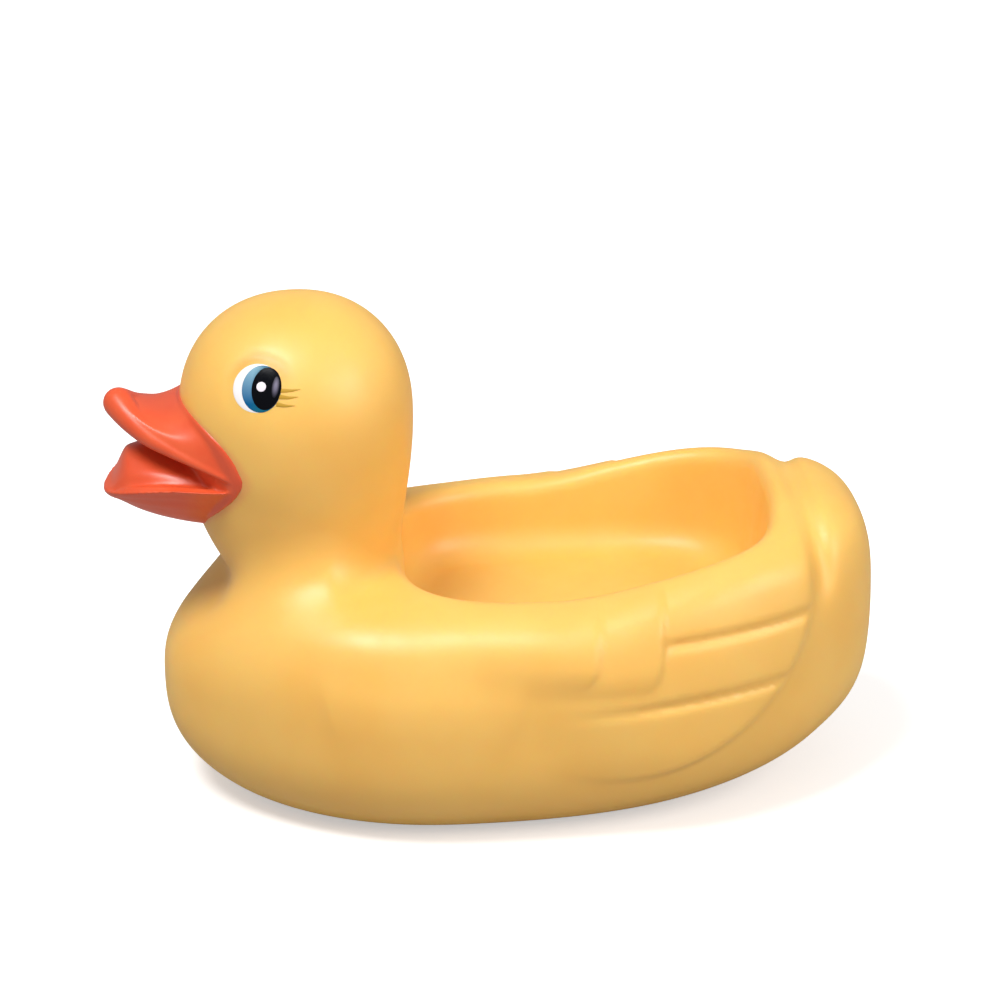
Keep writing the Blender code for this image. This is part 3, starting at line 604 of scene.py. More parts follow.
def mesh_piece(name: str, points: np.ndarray, faces: Sequence, sharp: float = 40.0) -> bpy.types.Object:
    """An object with smooth faces that point out.

    Args:
        name: The piece's name.
        points: Its points in metres.
        faces: Its faces, as rows of indices.
        sharp: The angle in degrees over which an edge stays sharp.

    Returns:
        The object, linked to the scene.
    """
    data = bpy.data.meshes.new(name)
    data.from_pydata(points.tolist(), [], [list(map(int, face)) for face in faces])
    mesh = bmesh.new()
    mesh.from_mesh(data)
    bmesh.ops.recalc_face_normals(mesh, faces=mesh.faces)
    mesh.to_mesh(data)
    mesh.free()
    data.shade_smooth()
    data.set_sharp_from_angle(angle=math.radians(sharp))
    piece = bpy.data.objects.new(name, data)
    bpy.context.scene.collection.objects.link(piece)
    return piece


def loft(rings: np.ndarray) -> tuple[np.ndarray, list]:
    """A closed form through rings of points.

    Args:
        rings: The rings' points, as an array of rings by points by 3.

    Returns:
        The points and the faces, with a face at each end.
    """
    count, around = rings.shape[:2]
    faces: list = [list(range(around))[::-1], list(range((count - 1) * around, count * around))]
    for ring in range(count - 1):
        for i in range(around):
            j = (i + 1) % around
            low, high = ring * around, (ring + 1) * around
            faces.append([low + i, low + j, high + j, high + i])
    return rings.reshape(-1, 3), faces


def lofted(name: str, rings: Sequence, placement: Placement) -> bpy.types.Object:
    """A piece through rings of drawn points, closed at both ends.

    Args:
        name: The piece's name.
        rings: The rings, each an array of points in mm.
        placement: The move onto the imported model.

    Returns:
        The piece.
    """
    points, faces = loft(np.array(rings))
    return mesh_piece(name, placement.placed(points), faces)


def with_modifiers(piece: bpy.types.Object) -> None:
    """Gives a piece the mesh that its modifiers make, and clears them.

    Args:
        piece: The piece.
    """
    graph = bpy.context.evaluated_depsgraph_get()
    made = bpy.data.meshes.new_from_object(piece.evaluated_get(graph))
    piece.modifiers.clear()
    piece.data = made


def combine(piece: bpy.types.Object, other: bpy.types.Object, operation: str) -> None:
    """Joins another form to a piece, or cuts it away, and removes that form.

    Args:
        piece: The piece.
        other: The other form.
        operation: UNION or DIFFERENCE.
    """
    modifier = piece.modifiers.new("combine", "BOOLEAN")
    modifier.object = other
    modifier.operation = operation
    modifier.solver = "EXACT"
    with_modifiers(piece)
    bpy.data.objects.remove(other)


def add_values(piece: bpy.types.Object, name: str, values: np.ndarray) -> None:
    """Stores one number for each point of a piece, for its material to read."""
    attribute = piece.data.attributes.new(name, "FLOAT", "POINT")
    attribute.data.foreach_set("value", values.astype(np.float32))


def finished(piece: bpy.types.Object, material: bpy.types.Material, slot: str, *nodes: str) -> None:
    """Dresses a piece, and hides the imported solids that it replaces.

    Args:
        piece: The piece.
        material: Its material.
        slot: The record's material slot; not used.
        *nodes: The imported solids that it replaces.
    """
    piece.data.materials.clear()
    piece.data.materials.append(material)
    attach(piece, "root")
    if nodes:
        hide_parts(*nodes)
    LOG.info("%s: %d faces", piece.name, len(piece.data.polygons))


# Finishes


def linear(colour: str) -> tuple[float, float, float, float]:
    """A hex sRGB colour as linear values with an alpha of 1.

    Args:
        colour: The colour, as # and six digits.

    Returns:
        Red, green, blue and alpha.
    """
    parts = [int(colour[i : i + 2], 16) / 255.0 for i in (1, 3, 5)]
    r, g, b = (p / 12.92 if p <= 0.04045 else ((p + 0.055) / 1.055) ** 2.4 for p in parts)
    return r, g, b, 1.0


def add_node(tree: bpy.types.NodeTree, kind: str, settings: dict, inputs: dict) -> bpy.types.Node:
    """Adds a node.

    Args:
        tree: The material's or world's node tree.
        kind: The node's type.
        settings: Values for its properties.
        inputs: Values or sockets for its inputs, by name or index.

    Returns:
        The node.
    """
    node = tree.nodes.new(kind)
    for name, value in settings.items():
        setattr(node, name, value)
    for name, value in inputs.items():
        if isinstance(value, bpy.types.NodeSocket):
            tree.links.new(value, node.inputs[name])
        else:
            node.inputs[name].default_value = value
    return node


def new_material(name: str, inputs: dict) -> tuple[bpy.types.Material, bpy.types.NodeTree, bpy.types.Node]:
    """A material with constants on its surface shader.

    Args:
        name: The material's name.
        inputs: The shader's constants, by socket name.

    Returns:
        The material, its node tree and its surface shader.
    """
    material = bpy.data.materials.new(name)
    material.use_nodes = True
    tree = material.node_tree
    shader = tree.nodes["Principled BSDF"]
    for socket, value in inputs.items():
        shader.inputs[socket].default_value = value
    return material, tree, shader


def per_metre(size_mm: float) -> float:
    """The scale of a pattern whose grains are this many millimetres wide."""
    return 1.0 / (size_mm * MM)


def drift(tree: bpy.types.NodeTree, size_mm: float, detail: float, span: Pair,
          values: Pair) -> bpy.types.NodeSocket:
    """A value that drifts between two others, in soft patches over a piece.

    Args:
        tree: The material's node tree.
        size_mm: How wide the patches are.
        detail: How much finer noise is mixed in.
        span: The noise at which the drift starts and ends.
        values: The two values.

    Returns:
        The value's socket.
    """
    place = add_node(tree, "ShaderNodeTexCoord", {}, {}).outputs["Object"]
    noise = add_node(tree, "ShaderNodeTexNoise", {}, {
        "Vector": place, "Scale": per_metre(size_mm), "Detail": detail}).outputs[0]
    return add_node(tree, "ShaderNodeMapRange", {}, {
        "Value": noise, "From Min": span[0], "From Max": span[1],
        "To Min": values[0], "To Max": values[1]}).outputs[0]


def grained(tree: bpy.types.NodeTree, shader: bpy.types.Node, strength: float, *layers: Pair) -> None:
    """Gives a surface its fine relief.

    Args:
        tree: The material's node tree.
        shader: Its surface shader.
        strength: How strong the relief is, from 0 to 1.
        *layers: How wide and how high the bumps of each layer are, in mm.
    """
    place = add_node(tree, "ShaderNodeTexCoord", {}, {}).outputs["Object"]
    below: dict = {}
    for size_mm, height_mm in layers:
        height = add_node(tree, "ShaderNodeTexNoise", {}, {
            "Vector": place, "Scale": per_metre(size_mm), "Detail": 2.0}).outputs[0]
        bump = {"Strength": strength, "Distance": height_mm * MM, "Height": height}
        below = {"Normal": add_node(tree, "ShaderNodeBump", {}, bump | below).outputs[0]}
    tree.links.new(below["Normal"], shader.inputs["Normal"])


@dataclass(frozen=True)
class RotocastVinyl:
    """Plasticised PVC cast in a turning mould, dyed through.

    The eye sees a satin, slightly waxy yellow. Light goes a few millimetres in and comes out warmer,
    so that shaded folds turn orange. The mould leaves a fine grain and a faint orange peel. A painted
    shade darkens the colour over each eye.
    """

    colour: str = "#FCC665"
    warm_colour: str = "#F7B044"
    # The painted shade over each eye: a darker orange mixed into the yellow.
    painted_brow_shade_colour: str = "#DB9632"
    overspray_colour: str = "#F2825A"
    roughness: Pair = (0.40, 0.50)
    depth_mm: float = 3.5
    scatter: float = 0.35
    clouding_mm: float = 22.0
    peel_mm: float = 2.4
    peel_height_mm: float = 0.035
    grain_mm: float = 0.45
    grain_height_mm: float = 0.012
    cloud_span: Pair = (0.35, 0.7)
    cloud_share: float = 0.35
    scatter_radius: Triple = (1.0, 0.45, 0.12)
    ior: float = 1.53
    gloss: float = 0.6

    def material(self) -> bpy.types.Material:
        """The node material.

        Returns:
            The material.
        """
        material, tree, shader = new_material("rotocast_soft_vinyl", {
            "IOR": self.ior, "Specular IOR Level": self.gloss, "Subsurface Weight": self.scatter,
            "Subsurface Radius": self.scatter_radius, "Subsurface Scale": self.depth_mm * MM})
        share = drift(tree, self.clouding_mm, 2.0, self.cloud_span, (0.0, self.cloud_share))
        colour = add_node(tree, "ShaderNodeMix", {"data_type": "RGBA"}, {
            0: share, 6: linear(self.colour), 7: linear(self.warm_colour)}).outputs[2]
        # Mixes in the painted shade over each eye and the stray orange paint by the bill, each by the share
        # stored on the body.
        for name, paint in (("painted_brow_shade", self.painted_brow_shade_colour), ("overspray", self.overspray_colour)):
            strength = add_node(tree, "ShaderNodeAttribute", {"attribute_name": name}, {}).outputs["Fac"]
            colour = add_node(tree, "ShaderNodeMix", {"data_type": "RGBA"}, {
                0: strength, 6: colour, 7: linear(paint)}).outputs[2]
        tree.links.new(colour, shader.inputs["Base Color"])
        gloss = drift(tree, self.clouding_mm / 3.0, 4.0, GLOSS_SPAN, self.roughness)
        tree.links.new(gloss, shader.inputs["Roughness"])
        grained(tree, shader, 0.6, (self.peel_mm, self.peel_height_mm), (self.grain_mm, self.grain_height_mm))
        return material


@dataclass(frozen=True)
class SprayedVinylInk:
    """Vinyl ink sprayed through a mask onto the bill.

    It is an opaque orange red, smoother than the bare vinyl, with slight clouds where the coat is thin.
    """

    colour: str = "#E4562F"
    thin_colour: str = "#EC6E40"
    roughness: Pair = (0.30, 0.40)
    clouding_mm: float = 9.0
    droplet_mm: float = 0.8
    droplet_height_mm: float = 0.015
    depth_mm: float = 0.8
    scatter: float = 0.08
    scatter_radius: Triple = (1.0, 0.3, 0.1)
    cloud_span: Pair = (0.4, 0.75)
    cloud_share: float = 0.4

    def material(self) -> bpy.types.Material:
        """The node material.

        Returns:
            The material.
        """
        material, tree, shader = new_material("sprayed_vinyl_ink", {
            "Subsurface Weight": self.scatter, "Subsurface Radius": self.scatter_radius,
            "Subsurface Scale": self.depth_mm * MM})
        share = drift(tree, self.clouding_mm, 3.0, self.cloud_span, (0.0, self.cloud_share))
        colour = add_node(tree, "ShaderNodeMix", {"data_type": "RGBA"}, {
            0: share, 6: linear(self.colour), 7: linear(self.thin_colour)}).outputs[2]
        tree.links.new(colour, shader.inputs["Base Color"])
        gloss = drift(tree, self.clouding_mm, 3.0, GLOSS_SPAN, self.roughness)
        tree.links.new(gloss, shader.inputs["Roughness"])
        grained(tree, shader, 0.5, (self.droplet_mm, self.droplet_height_mm))
        return material


@dataclass(frozen=True)
class PadPrintedEnamel:
    """Gloss ink laid down by a soft pad, in flat colours with crisp edges.

    The coat is thin and shiny. A second colour, where there is one, is painted light: it lightens the
    ink from the bottom to the top, and on the iris it is a painted reflection. A third one tints it
    towards its edge or its back. One of these inks paints a reflection in each pupil.
    """

    name: str
    colour: str
    # The colour at the top, lighter where it differs: painted light from above.
    painted_light_top_colour: str
    edge_colour: str = ""
    edge_share: Pair = (0.0, 0.0)
    edge_along: str = "paint_out"
    roughness: float = 0.22
    roughness_spread: Pair = (-0.04, 0.06)
    gloss: float = 0.12
    speck_mm: float = 0.6
    painted_light_top_share: Pair = (-0.7, 0.8)

    def material(self) -> bpy.types.Material:
        """The node material.

        Returns:
            The material.
        """
        material, tree, shader = new_material(self.name, {"Specular IOR Level": self.gloss})
        up = add_node(tree, "ShaderNodeAttribute", {"attribute_name": "paint_up"}, {}).outputs["Fac"]
        share = add_node(tree, "ShaderNodeMapRange", {}, {
            "Value": up, "From Min": self.painted_light_top_share[0], "From Max": self.painted_light_top_share[1]}).outputs[0]
        colour = add_node(tree, "ShaderNodeMix", {"data_type": "RGBA"}, {
            0: share, 6: linear(self.colour), 7: linear(self.painted_light_top_colour)}).outputs[2]
        if self.edge_colour:
            along = {"attribute_name": self.edge_along}
            out = add_node(tree, "ShaderNodeAttribute", along, {}).outputs["Fac"]
            share = add_node(tree, "ShaderNodeMapRange", {}, {
                "Value": out, "From Min": self.edge_share[0], "From Max": self.edge_share[1]}).outputs[0]
            colour = add_node(tree, "ShaderNodeMix", {"data_type": "RGBA"}, {
                0: share, 6: colour, 7: linear(self.edge_colour)}).outputs[2]
        tree.links.new(colour, shader.inputs["Base Color"])
        roughness = (self.roughness + self.roughness_spread[0], self.roughness + self.roughness_spread[1])
        gloss = drift(tree, self.speck_mm, 2.0, GLOSS_SPAN, roughness)
        tree.links.new(gloss, shader.inputs["Roughness"])
        return material


@dataclass(frozen=True)
class MouldedPlastic:
    """Injection-moulded polypropylene, or a film cut from sheet, for the squeaker's parts.

    It is a milky off-white with a low sheen and a fine spark-eroded grain.
    """

    name: str
    colour: str
    roughness: float
    grain_mm: float = 0.25
    grain_height_mm: float = 0.01
    scatter: float = 0.2
    cloud_colour: str = "#DAD8CF"
    cloud_share: float = 0.3

    @property
    def cloud_mm(self) -> float:
        """How wide the clouds are, which goes with the grain."""
        return self.grain_mm * 12.0

    def material(self) -> bpy.types.Material:
        """The node material.

        Returns:
            The material.
        """
        material, tree, shader = new_material(self.name, {
            "Roughness": self.roughness, "Subsurface Weight": self.scatter, "Subsurface Scale": MM})
        share = drift(tree, self.cloud_mm, 2.0, GLOSS_SPAN, (0.0, self.cloud_share))
        colour = add_node(tree, "ShaderNodeMix", {"data_type": "RGBA"}, {
            0: share, 6: linear(self.colour), 7: linear(self.cloud_colour)}).outputs[2]
        tree.links.new(colour, shader.inputs["Base Color"])
        grained(tree, shader, 0.5, (self.grain_mm, self.grain_height_mm))
        return material


# Sub-assemblies


@dataclass
class Moulding:
    """The yellow body, meshed finely from its forms and cut open for the squeaker."""

    skin: Skin
    finish: RotocastVinyl = RotocastVinyl()
    rounds: int = 3
    well_sides: int = 96
    overspray_mm: float = 1.3
    # How strong the painted shade over each eye is, how far out from the eye's middle it lies and spreads, and
    # the heights over which it comes in.
    brow_share: float = 0.6
    brow_reach: float = 1.12
    brow_spread: float = 0.30
    brow_heights: Pair = (-0.1, 1.0)

    def build(self, placement: Placement, bill: "Bill") -> bpy.types.Object:
        """Makes and dresses the body.

        Args:
            placement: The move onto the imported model, which this sets from the body's own tail.
            bill: The bill, whose outline gives the overspray.

        Returns:
            The body.
        """
        skin, margin = self.skin, self.skin.net_margin
        half = math.ceil((skin.torso.half_width + margin + skin.wing.flight.relief) / skin.net_step)
        low = (skin.torso.centre[0] - skin.torso.front - margin, -half * skin.net_step, -margin)
        high = (skin.tail.centre[0] + skin.tail.rear + margin, half * skin.net_step,
                skin.head.centre[2] + skin.head.rise + margin)
        points, quads = surface_net(skin.distance, low, high, skin.net_step)
        for _ in range(self.rounds):
            points = settle(skin.distance, relax(points, quads), passes=2)
        _, packed_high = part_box("duck_body")
        placement.shift = np.array((packed_high.x / MM - points[:, 0].max(), 0.0, -skin.base_trim))
        body = mesh_piece("vinyl_body", placement.placed(points), quads, sharp=60.0)
        combine(body, self.well(), "DIFFERENCE")
        drawn = np.array([vert.co for vert in body.data.vertices]) / MM - placement.shift
        # The painted shade over each eye, stored for the material to mix in.
        add_values(body, "painted_brow_shade", self.painted_brow_shade(drawn))
        add_values(body, "overspray", bill.overspray(drawn, self.overspray_mm))
        finished(body, self.finish.material(), "soft_vinyl", "duck_body")
        return body

    def well(self) -> bpy.types.Object:
        """The space in the base that the squeaker is pressed into.

        Returns:
            The space, as a closed form.
        """
        low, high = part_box("squeaker_cup")
        centre = (low + high) / 2.0
        radius = (high.x - low.x) / 2.0 + self.skin.well_clearance * MM
        top = high.z + self.skin.well_clearance * MM
        angles = turns(self.well_sides)
        circle = np.stack((centre.x + radius * np.cos(angles), centre.y + radius * np.sin(angles)), axis=1)
        rings = np.array([[(x, y, z) for x, y in circle] for z in (-top, top)])
        return mesh_piece("well", *loft(rings))

    def painted_brow_shade(self, points: np.ndarray) -> np.ndarray:
        """The painted shade over each eye, at each point.

        Args:
            points: The points.

        Returns:
            The share at each.
        """
        reach, above = self.skin.eyes.around(points)
        shade = bell(reach, self.brow_reach, self.brow_spread) * ease(above, *self.brow_heights)
        return self.brow_share * shade


@dataclass
class Bill:
    """The open bill: two blades, and the low root that gives its paint an outline."""

    skin: Skin
    reach: float = 41.8
    root_reach: float = 12.5
    half_width: float = 21.4
    power: float = 1.5
    ridge_root_drop: float = 9.9
    ridge_slope: float = 0.50
    kick_reach: float = 30.0
    kick_curve: float = 0.036
    saddle_reach: float = 30.5
    saddle_rise: float = 2.0
    saddle_curve: float = 0.05
    saddle_top: float = 8.0
    saddle_power: Pair = (6.0, 2.0)
    knob_radius: float = 3.3
    knob_overlap: float = 2.4
    roll_start: float = 0.10
    roll_radius: float = 0.6
    roll_power: float = 1.5
    roll_inset: Pair = (0.045, 0.8)
    edge_thickness: float = 8.0
    corner_thickness: float = 1.9
    thickness_power: float = 3.2
    undercut: float = 0.14
    rim_height: float = 0.9
    rim_across: float = 0.92
    rim_spread: float = 0.10
    edge_power: float = 0.66
    tip_power: float = 10.0
    palate_rise: float = 2.0
    lower_longer: float = 0.6
    lower_power: float = 2.0
    lower_half_width: float = 20.8
    lip_drop: float = 10.7
    tip_dip: float = 4.5
    dip_reach: float = 24.0
    lower_depth: float = 15.3
    keel_curve: float = 0.0085
    keel_power: float = 2.2
    lip_thickness: float = 2.4
    tongue_rise: float = 6.8
    tongue_power: float = 1.5
    tongue_front: Pair = (0.8, 5.0)
    grooves: tuple[Triple, ...] = ((0.74, 1.4, 0.07), (0.91, 0.5, 0.04))
    base_half_width: float = 21.3
    base_heights: Pair = (12.6, 16.5)
    base_drop: float = 8.5
    base_proud: float = 0.4
    base_powers: Pair = (2.7, 1.5)
    base_root: float = 5.2
    base_steps: tuple[Pair, ...] = ((1.0, 0.0), (0.985, 0.7), (0.95, 1.0), (0.8, 1.0), (0.6, 1.0),
                                    (0.4, 1.0), (0.2, 1.0), (0.03, 1.0))
    face_passes: int = 8
    face_step: float = 0.9
    overspray_share: float = 0.4
    last_station: float = 0.999
    pole: float = 0.49
    stations: int = 56
    ring: int = 128
    voxel: float = 0.36
    roll_ring: int = 32
    softening: int = 4
    finish: SprayedVinylInk = SprayedVinylInk()

    @property
    def head(self) -> Egg:
        """The head that the bill grows from."""
        return self.skin.head

    @property
    def root_x(self) -> float:
        """Where the blades start inside the head."""
        return self.head.centre[0] - self.root_reach

    @property
    def tip_x(self) -> float:
        """The tip of the upper blade."""
        return self.head.centre[0] - self.reach

    def ridge(self, x: np.ndarray) -> np.ndarray:
        """The height of the upper blade's edge, which kicks up towards its tip.

        Args:
            x: Places along the blade.

        Returns:
            The height at each.
        """
        kick = np.maximum(self.head.centre[0] - x - self.kick_reach, 0.0) ** 2
        root_z = self.head.centre[2] - self.ridge_root_drop
        return root_z + self.ridge_slope * (self.root_x - x) + self.kick_curve * kick

    def upper(self, x: np.ndarray, across: np.ndarray) -> tuple[np.ndarray, np.ndarray]:
        """The heights of the top and the underside of the upper blade.

        Args:
            x: Places along the blade.
            across: Places across it, from -1 to 1.

        Returns:
            Both heights at each.
        """
        centre_z = self.head.centre[2]
        from_saddle = self.head.centre[0] - x - self.saddle_reach
        middle = centre_z + self.saddle_rise + self.saddle_curve * from_saddle**2
        middle = np.minimum(middle, centre_z + self.saddle_top)
        ridge = self.ridge(x)
        rim = self.rim_height * bell(np.abs(across), self.rim_across, self.rim_spread)
        share = (self.root_x - x) / (self.root_x - self.tip_x)
        growth = (self.edge_thickness - self.corner_thickness) * share**self.thickness_power
        thickness = self.corner_thickness + growth
        power = self.saddle_power[0] + (self.saddle_power[1] - self.saddle_power[0]) * share
        top = middle + (ridge - middle) * np.abs(across) ** power + rim
        return top, ridge - thickness + self.palate_rise * (1.0 - across**2)

    def lower(self, x: np.ndarray, across: np.ndarray) -> tuple[np.ndarray, np.ndarray]:
        """The heights of the tongue's surface and the keel of the lower blade.

        Args:
            x: Places along the blade.
            across: Places across it, from -1 to 1.

        Returns:
            Both heights at each.
        """
        centre_z = self.head.centre[2]
        dip = (self.head.centre[0] - x - self.dip_reach) / (self.reach - self.dip_reach)
        lip = centre_z - self.lip_drop - self.tip_dip * np.maximum(dip, 0.0) ** 2
        keel = centre_z - self.lip_drop - self.lower_depth + self.keel_curve * (self.root_x - x) ** 2
        share = (self.root_x - x) / (self.root_x - self.tip_x)
        tongue = self.tongue_rise * share * ease(x - self.tip_x, *self.tongue_front)
        top = lip + tongue * np.maximum(1.0 - across**2, 0.0) ** self.tongue_power
        for place, depth, spread in self.grooves:
            top = top - depth * bell(np.abs(across), place, spread)
        return top, keel + (lip - self.lip_thickness - keel) * np.abs(across) ** self.keel_power

    def blade(self, name: str, tip_x: float, half_width: float, power: float,
              surfaces: Callable, placement: Placement) -> bpy.types.Object:
        """One blade of the bill, from inside the head to its tip.

        Args:
            name: The blade's name.
            tip_x: Where it ends.
            half_width: Half its width at the head.
            power: How square its outline is from above.
            surfaces: Gives its top and underside.
            placement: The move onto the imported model.

        Returns:
            The blade.
        """
        turn = turns(self.ring)
        across = np.cos(turn)
        edge = np.sign(np.sin(turn)) * np.abs(np.sin(turn)) ** self.edge_power
        rings = []
        for share in np.sin(np.linspace(0.0, math.pi / 2.0, self.stations)) * self.last_station:
            x = np.full(self.ring, self.root_x - (self.root_x - tip_x) * share)
            width = half_width * (1.0 - share**power) ** (1.0 / power)
            top, bottom = surfaces(x, across)
            closing = math.sqrt(1.0 - share**self.tip_power)
            z = (top + bottom) / 2.0 + (top - bottom) / 2.0 * edge * closing
            inset = 1.0 - self.undercut * (1.0 - edge) / 2.0
            rings.append(np.stack((x, across * width * inset, z), axis=1))
        return lofted(name, rings, placement)

    def root(self, placement: Placement) -> bpy.types.Object:
        """The low plate on the face, which follows the skin.

        Args:
            placement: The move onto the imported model.

        Returns:
            The plate.
        """
        turn = turns(self.ring)
        x, z = np.cos(turn), np.sin(turn)
        power = np.where(z > 0.0, *self.base_powers)
        size = (np.abs(x) ** power + np.abs(z) ** power) ** (1.0 / power)
        heights = np.where(z > 0.0, *self.base_heights)
        outline = np.stack((x / size * self.base_half_width, z / size * heights), axis=1)
        steps = [(1.0, -self.base_root)]
        steps += [(scale, share * self.base_proud) for scale, share in self.base_steps]
        rings = []
        for scale, proud in steps:
            y, z = outline[:, 0] * scale, outline[:, 1] * scale - self.base_drop
            height = np.where(z > 0.0, self.head.rise, self.head.drop)
            share = 1.0 - (y / self.head.half_width) ** 2 - (z / height) ** 2
            x = -self.head.front * np.sqrt(np.maximum(share, 0.01))
            ring = self.face(np.stack((x, y, z), axis=1) + np.array(self.head.centre))
            rings.append(self.skin.raised(ring, proud))
        return lofted("bill_root", rings, placement)

    def roll(self, side: Side, placement: Placement) -> bpy.types.Object:
        """The roll along one edge of the upper blade, which grows into the round tip.

        Args:
            side: The side that the edge is on.
            placement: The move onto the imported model.

        Returns:
            The roll.
        """
        share = np.linspace(self.roll_start, 1.0, self.stations)
        growth = ((share - self.roll_start) / (1.0 - self.roll_start)) ** self.roll_power
        radius = self.roll_radius + (self.knob_radius - self.roll_radius) * growth
        x = self.root_x - (self.root_x - self.tip_x - self.knob_radius) * share
        along = (self.root_x - x) / (self.root_x - self.tip_x - self.knob_overlap)
        width = self.half_width * (1.0 - along**self.power) ** (1.0 / self.power)
        inset = self.roll_inset[0] * width + self.roll_inset[1] * radius
        y = side.value * np.maximum(width - inset, 0.0)
        path = np.stack((x, y, self.ridge(x) - radius), axis=1)
        ahead = unit(np.gradient(path, axis=0))
        beside = unit(np.cross(ahead, (0.0, 0.0, 1.0)))
        above = np.cross(beside, ahead)
        turn = turns(self.roll_ring)
        rings = [centre + size * (np.outer(np.cos(turn), right) + np.outer(np.sin(turn), up))
                 for centre, size, right, up in zip(path, radius, beside, above)]
        return lofted("bill_roll", rings, placement)

    def knob(self, placement: Placement) -> bpy.types.Object:
        """The round tip of the upper blade.

        Args:
            placement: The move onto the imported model.

        Returns:
            The tip.
        """
        x = self.tip_x + self.knob_radius
        centre = np.array((x, 0.0, float(self.ridge(np.array(x))) - self.knob_radius))
        turn = turns(self.roll_ring)
        rings = []
        for tilt in np.linspace(-self.pole, self.pole, self.roll_ring // 2) * math.pi:
            circle = np.stack((np.cos(turn) * math.cos(tilt), np.sin(turn) * math.cos(tilt),
                               np.full(self.roll_ring, math.sin(tilt))), axis=1)
            rings.append(centre + self.knob_radius * circle)
        return lofted("bill_knob", rings, placement)

    def face(self, points: np.ndarray) -> np.ndarray:
        """Points moved fore and aft, and nowhere else, until they lie on the skin.

        Args:
            points: The points.

        Returns:
            The moved points.
        """
        for _ in range(self.face_passes):
            gap = self.skin.distance(points)
            points = points + np.outer(gap, (self.face_step, 0.0, 0.0))
        return points

    def overspray(self, points: np.ndarray, reach: float) -> np.ndarray:
        """How much stray paint lies on the face at each point, just outside the bill's outline.

        Args:
            points: The points.
            reach: How far it goes out from the bill, in mm.

        Returns:
            The share at each.
        """
        offsets = points - np.array(self.head.centre)
        across = np.stack((offsets[:, 1], offsets[:, 2] + self.base_drop), axis=1)
        above, below = (rounded_distance(across, np.array((self.base_half_width, height)), power)
                        for height, power in zip(self.base_heights, self.base_powers))
        outside = np.where(across[:, 1] > 0.0, above, below)
        return self.overspray_share * (1.0 - ease(outside, 0.0, reach)) * (offsets[:, 0] < 0.0)

    def build(self, placement: Placement) -> bpy.types.Object:
        """Makes and dresses the bill: its forms joined, and their creases softened.

        Args:
            placement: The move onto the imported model.

        Returns:
            The bill.
        """
        upper_tip = self.tip_x + self.knob_overlap
        bill = self.blade("bill", upper_tip, self.half_width, self.power, self.upper, placement)
        combine(bill, self.knob(placement), "UNION")
        for side in Side:
            combine(bill, self.roll(side, placement), "UNION")
        lower_tip = self.tip_x - self.lower_longer
        combine(bill, self.blade("lower_blade", lower_tip, self.lower_half_width, self.lower_power,
                                 self.lower, placement), "UNION")
        combine(bill, self.root(placement), "UNION")
        remesh = bill.modifiers.new("remesh", "REMESH")
        remesh.mode = "VOXEL"
        remesh.voxel_size = self.voxel * MM
        soften = bill.modifiers.new("soften", "SMOOTH")
        soften.factor = 0.5
        soften.iterations = self.softening
        with_modifiers(bill)
        bill.data.shade_smooth()
        finished(bill, self.finish.material(), "soft_vinyl", "duck_body")
        return bill


@dataclass(frozen=True)
class Oval:
    """An oval of paint in an eye, by its shift backwards and up, its half sizes and its layer."""

    name: str
    shift: Pair
    half_sizes: Pair
    layer: int
    paint: PadPrintedEnamel


@dataclass(frozen=True)
class Lash:
    """One painted lash: where it starts, where it ends, and how it bows."""

    start: Pair
    end: Pair
    bow: float
    half_width: float = 0.46


WHITE = PadPrintedEnamel("white_pad_ink", "#EFEBEC", "#F6F3F2")
GLINT = PadPrintedEnamel("glint_pad_ink", "#ECE2EC", "#F3EBF2")
# The iris is printed blue, and its back turns teal. Its paler top is a painted reflection.
BLUE = PadPrintedEnamel("blue_pad_ink", "#0A5A8E", "#86AFC2", "#17647E", (-0.55, -0.05), "paint_back")
BLACK = PadPrintedEnamel("black_pad_ink", "#0C0D11", "#0C0E13", gloss=0.04)
# A painted reflection in each pupil: a soft grey-violet band, lighter at its top, which fades to the pupil's
# black at its edge.
PAINTED_REFLECTION = PadPrintedEnamel("painted_pupil_reflection_ink", "#5C586A", "#928CA0", "#0D0E13", (0.25, 1.0), roughness=0.3)
BROWN = PadPrintedEnamel("brown_pad_ink", "#BF9438", "#BF9438", roughness=0.4)


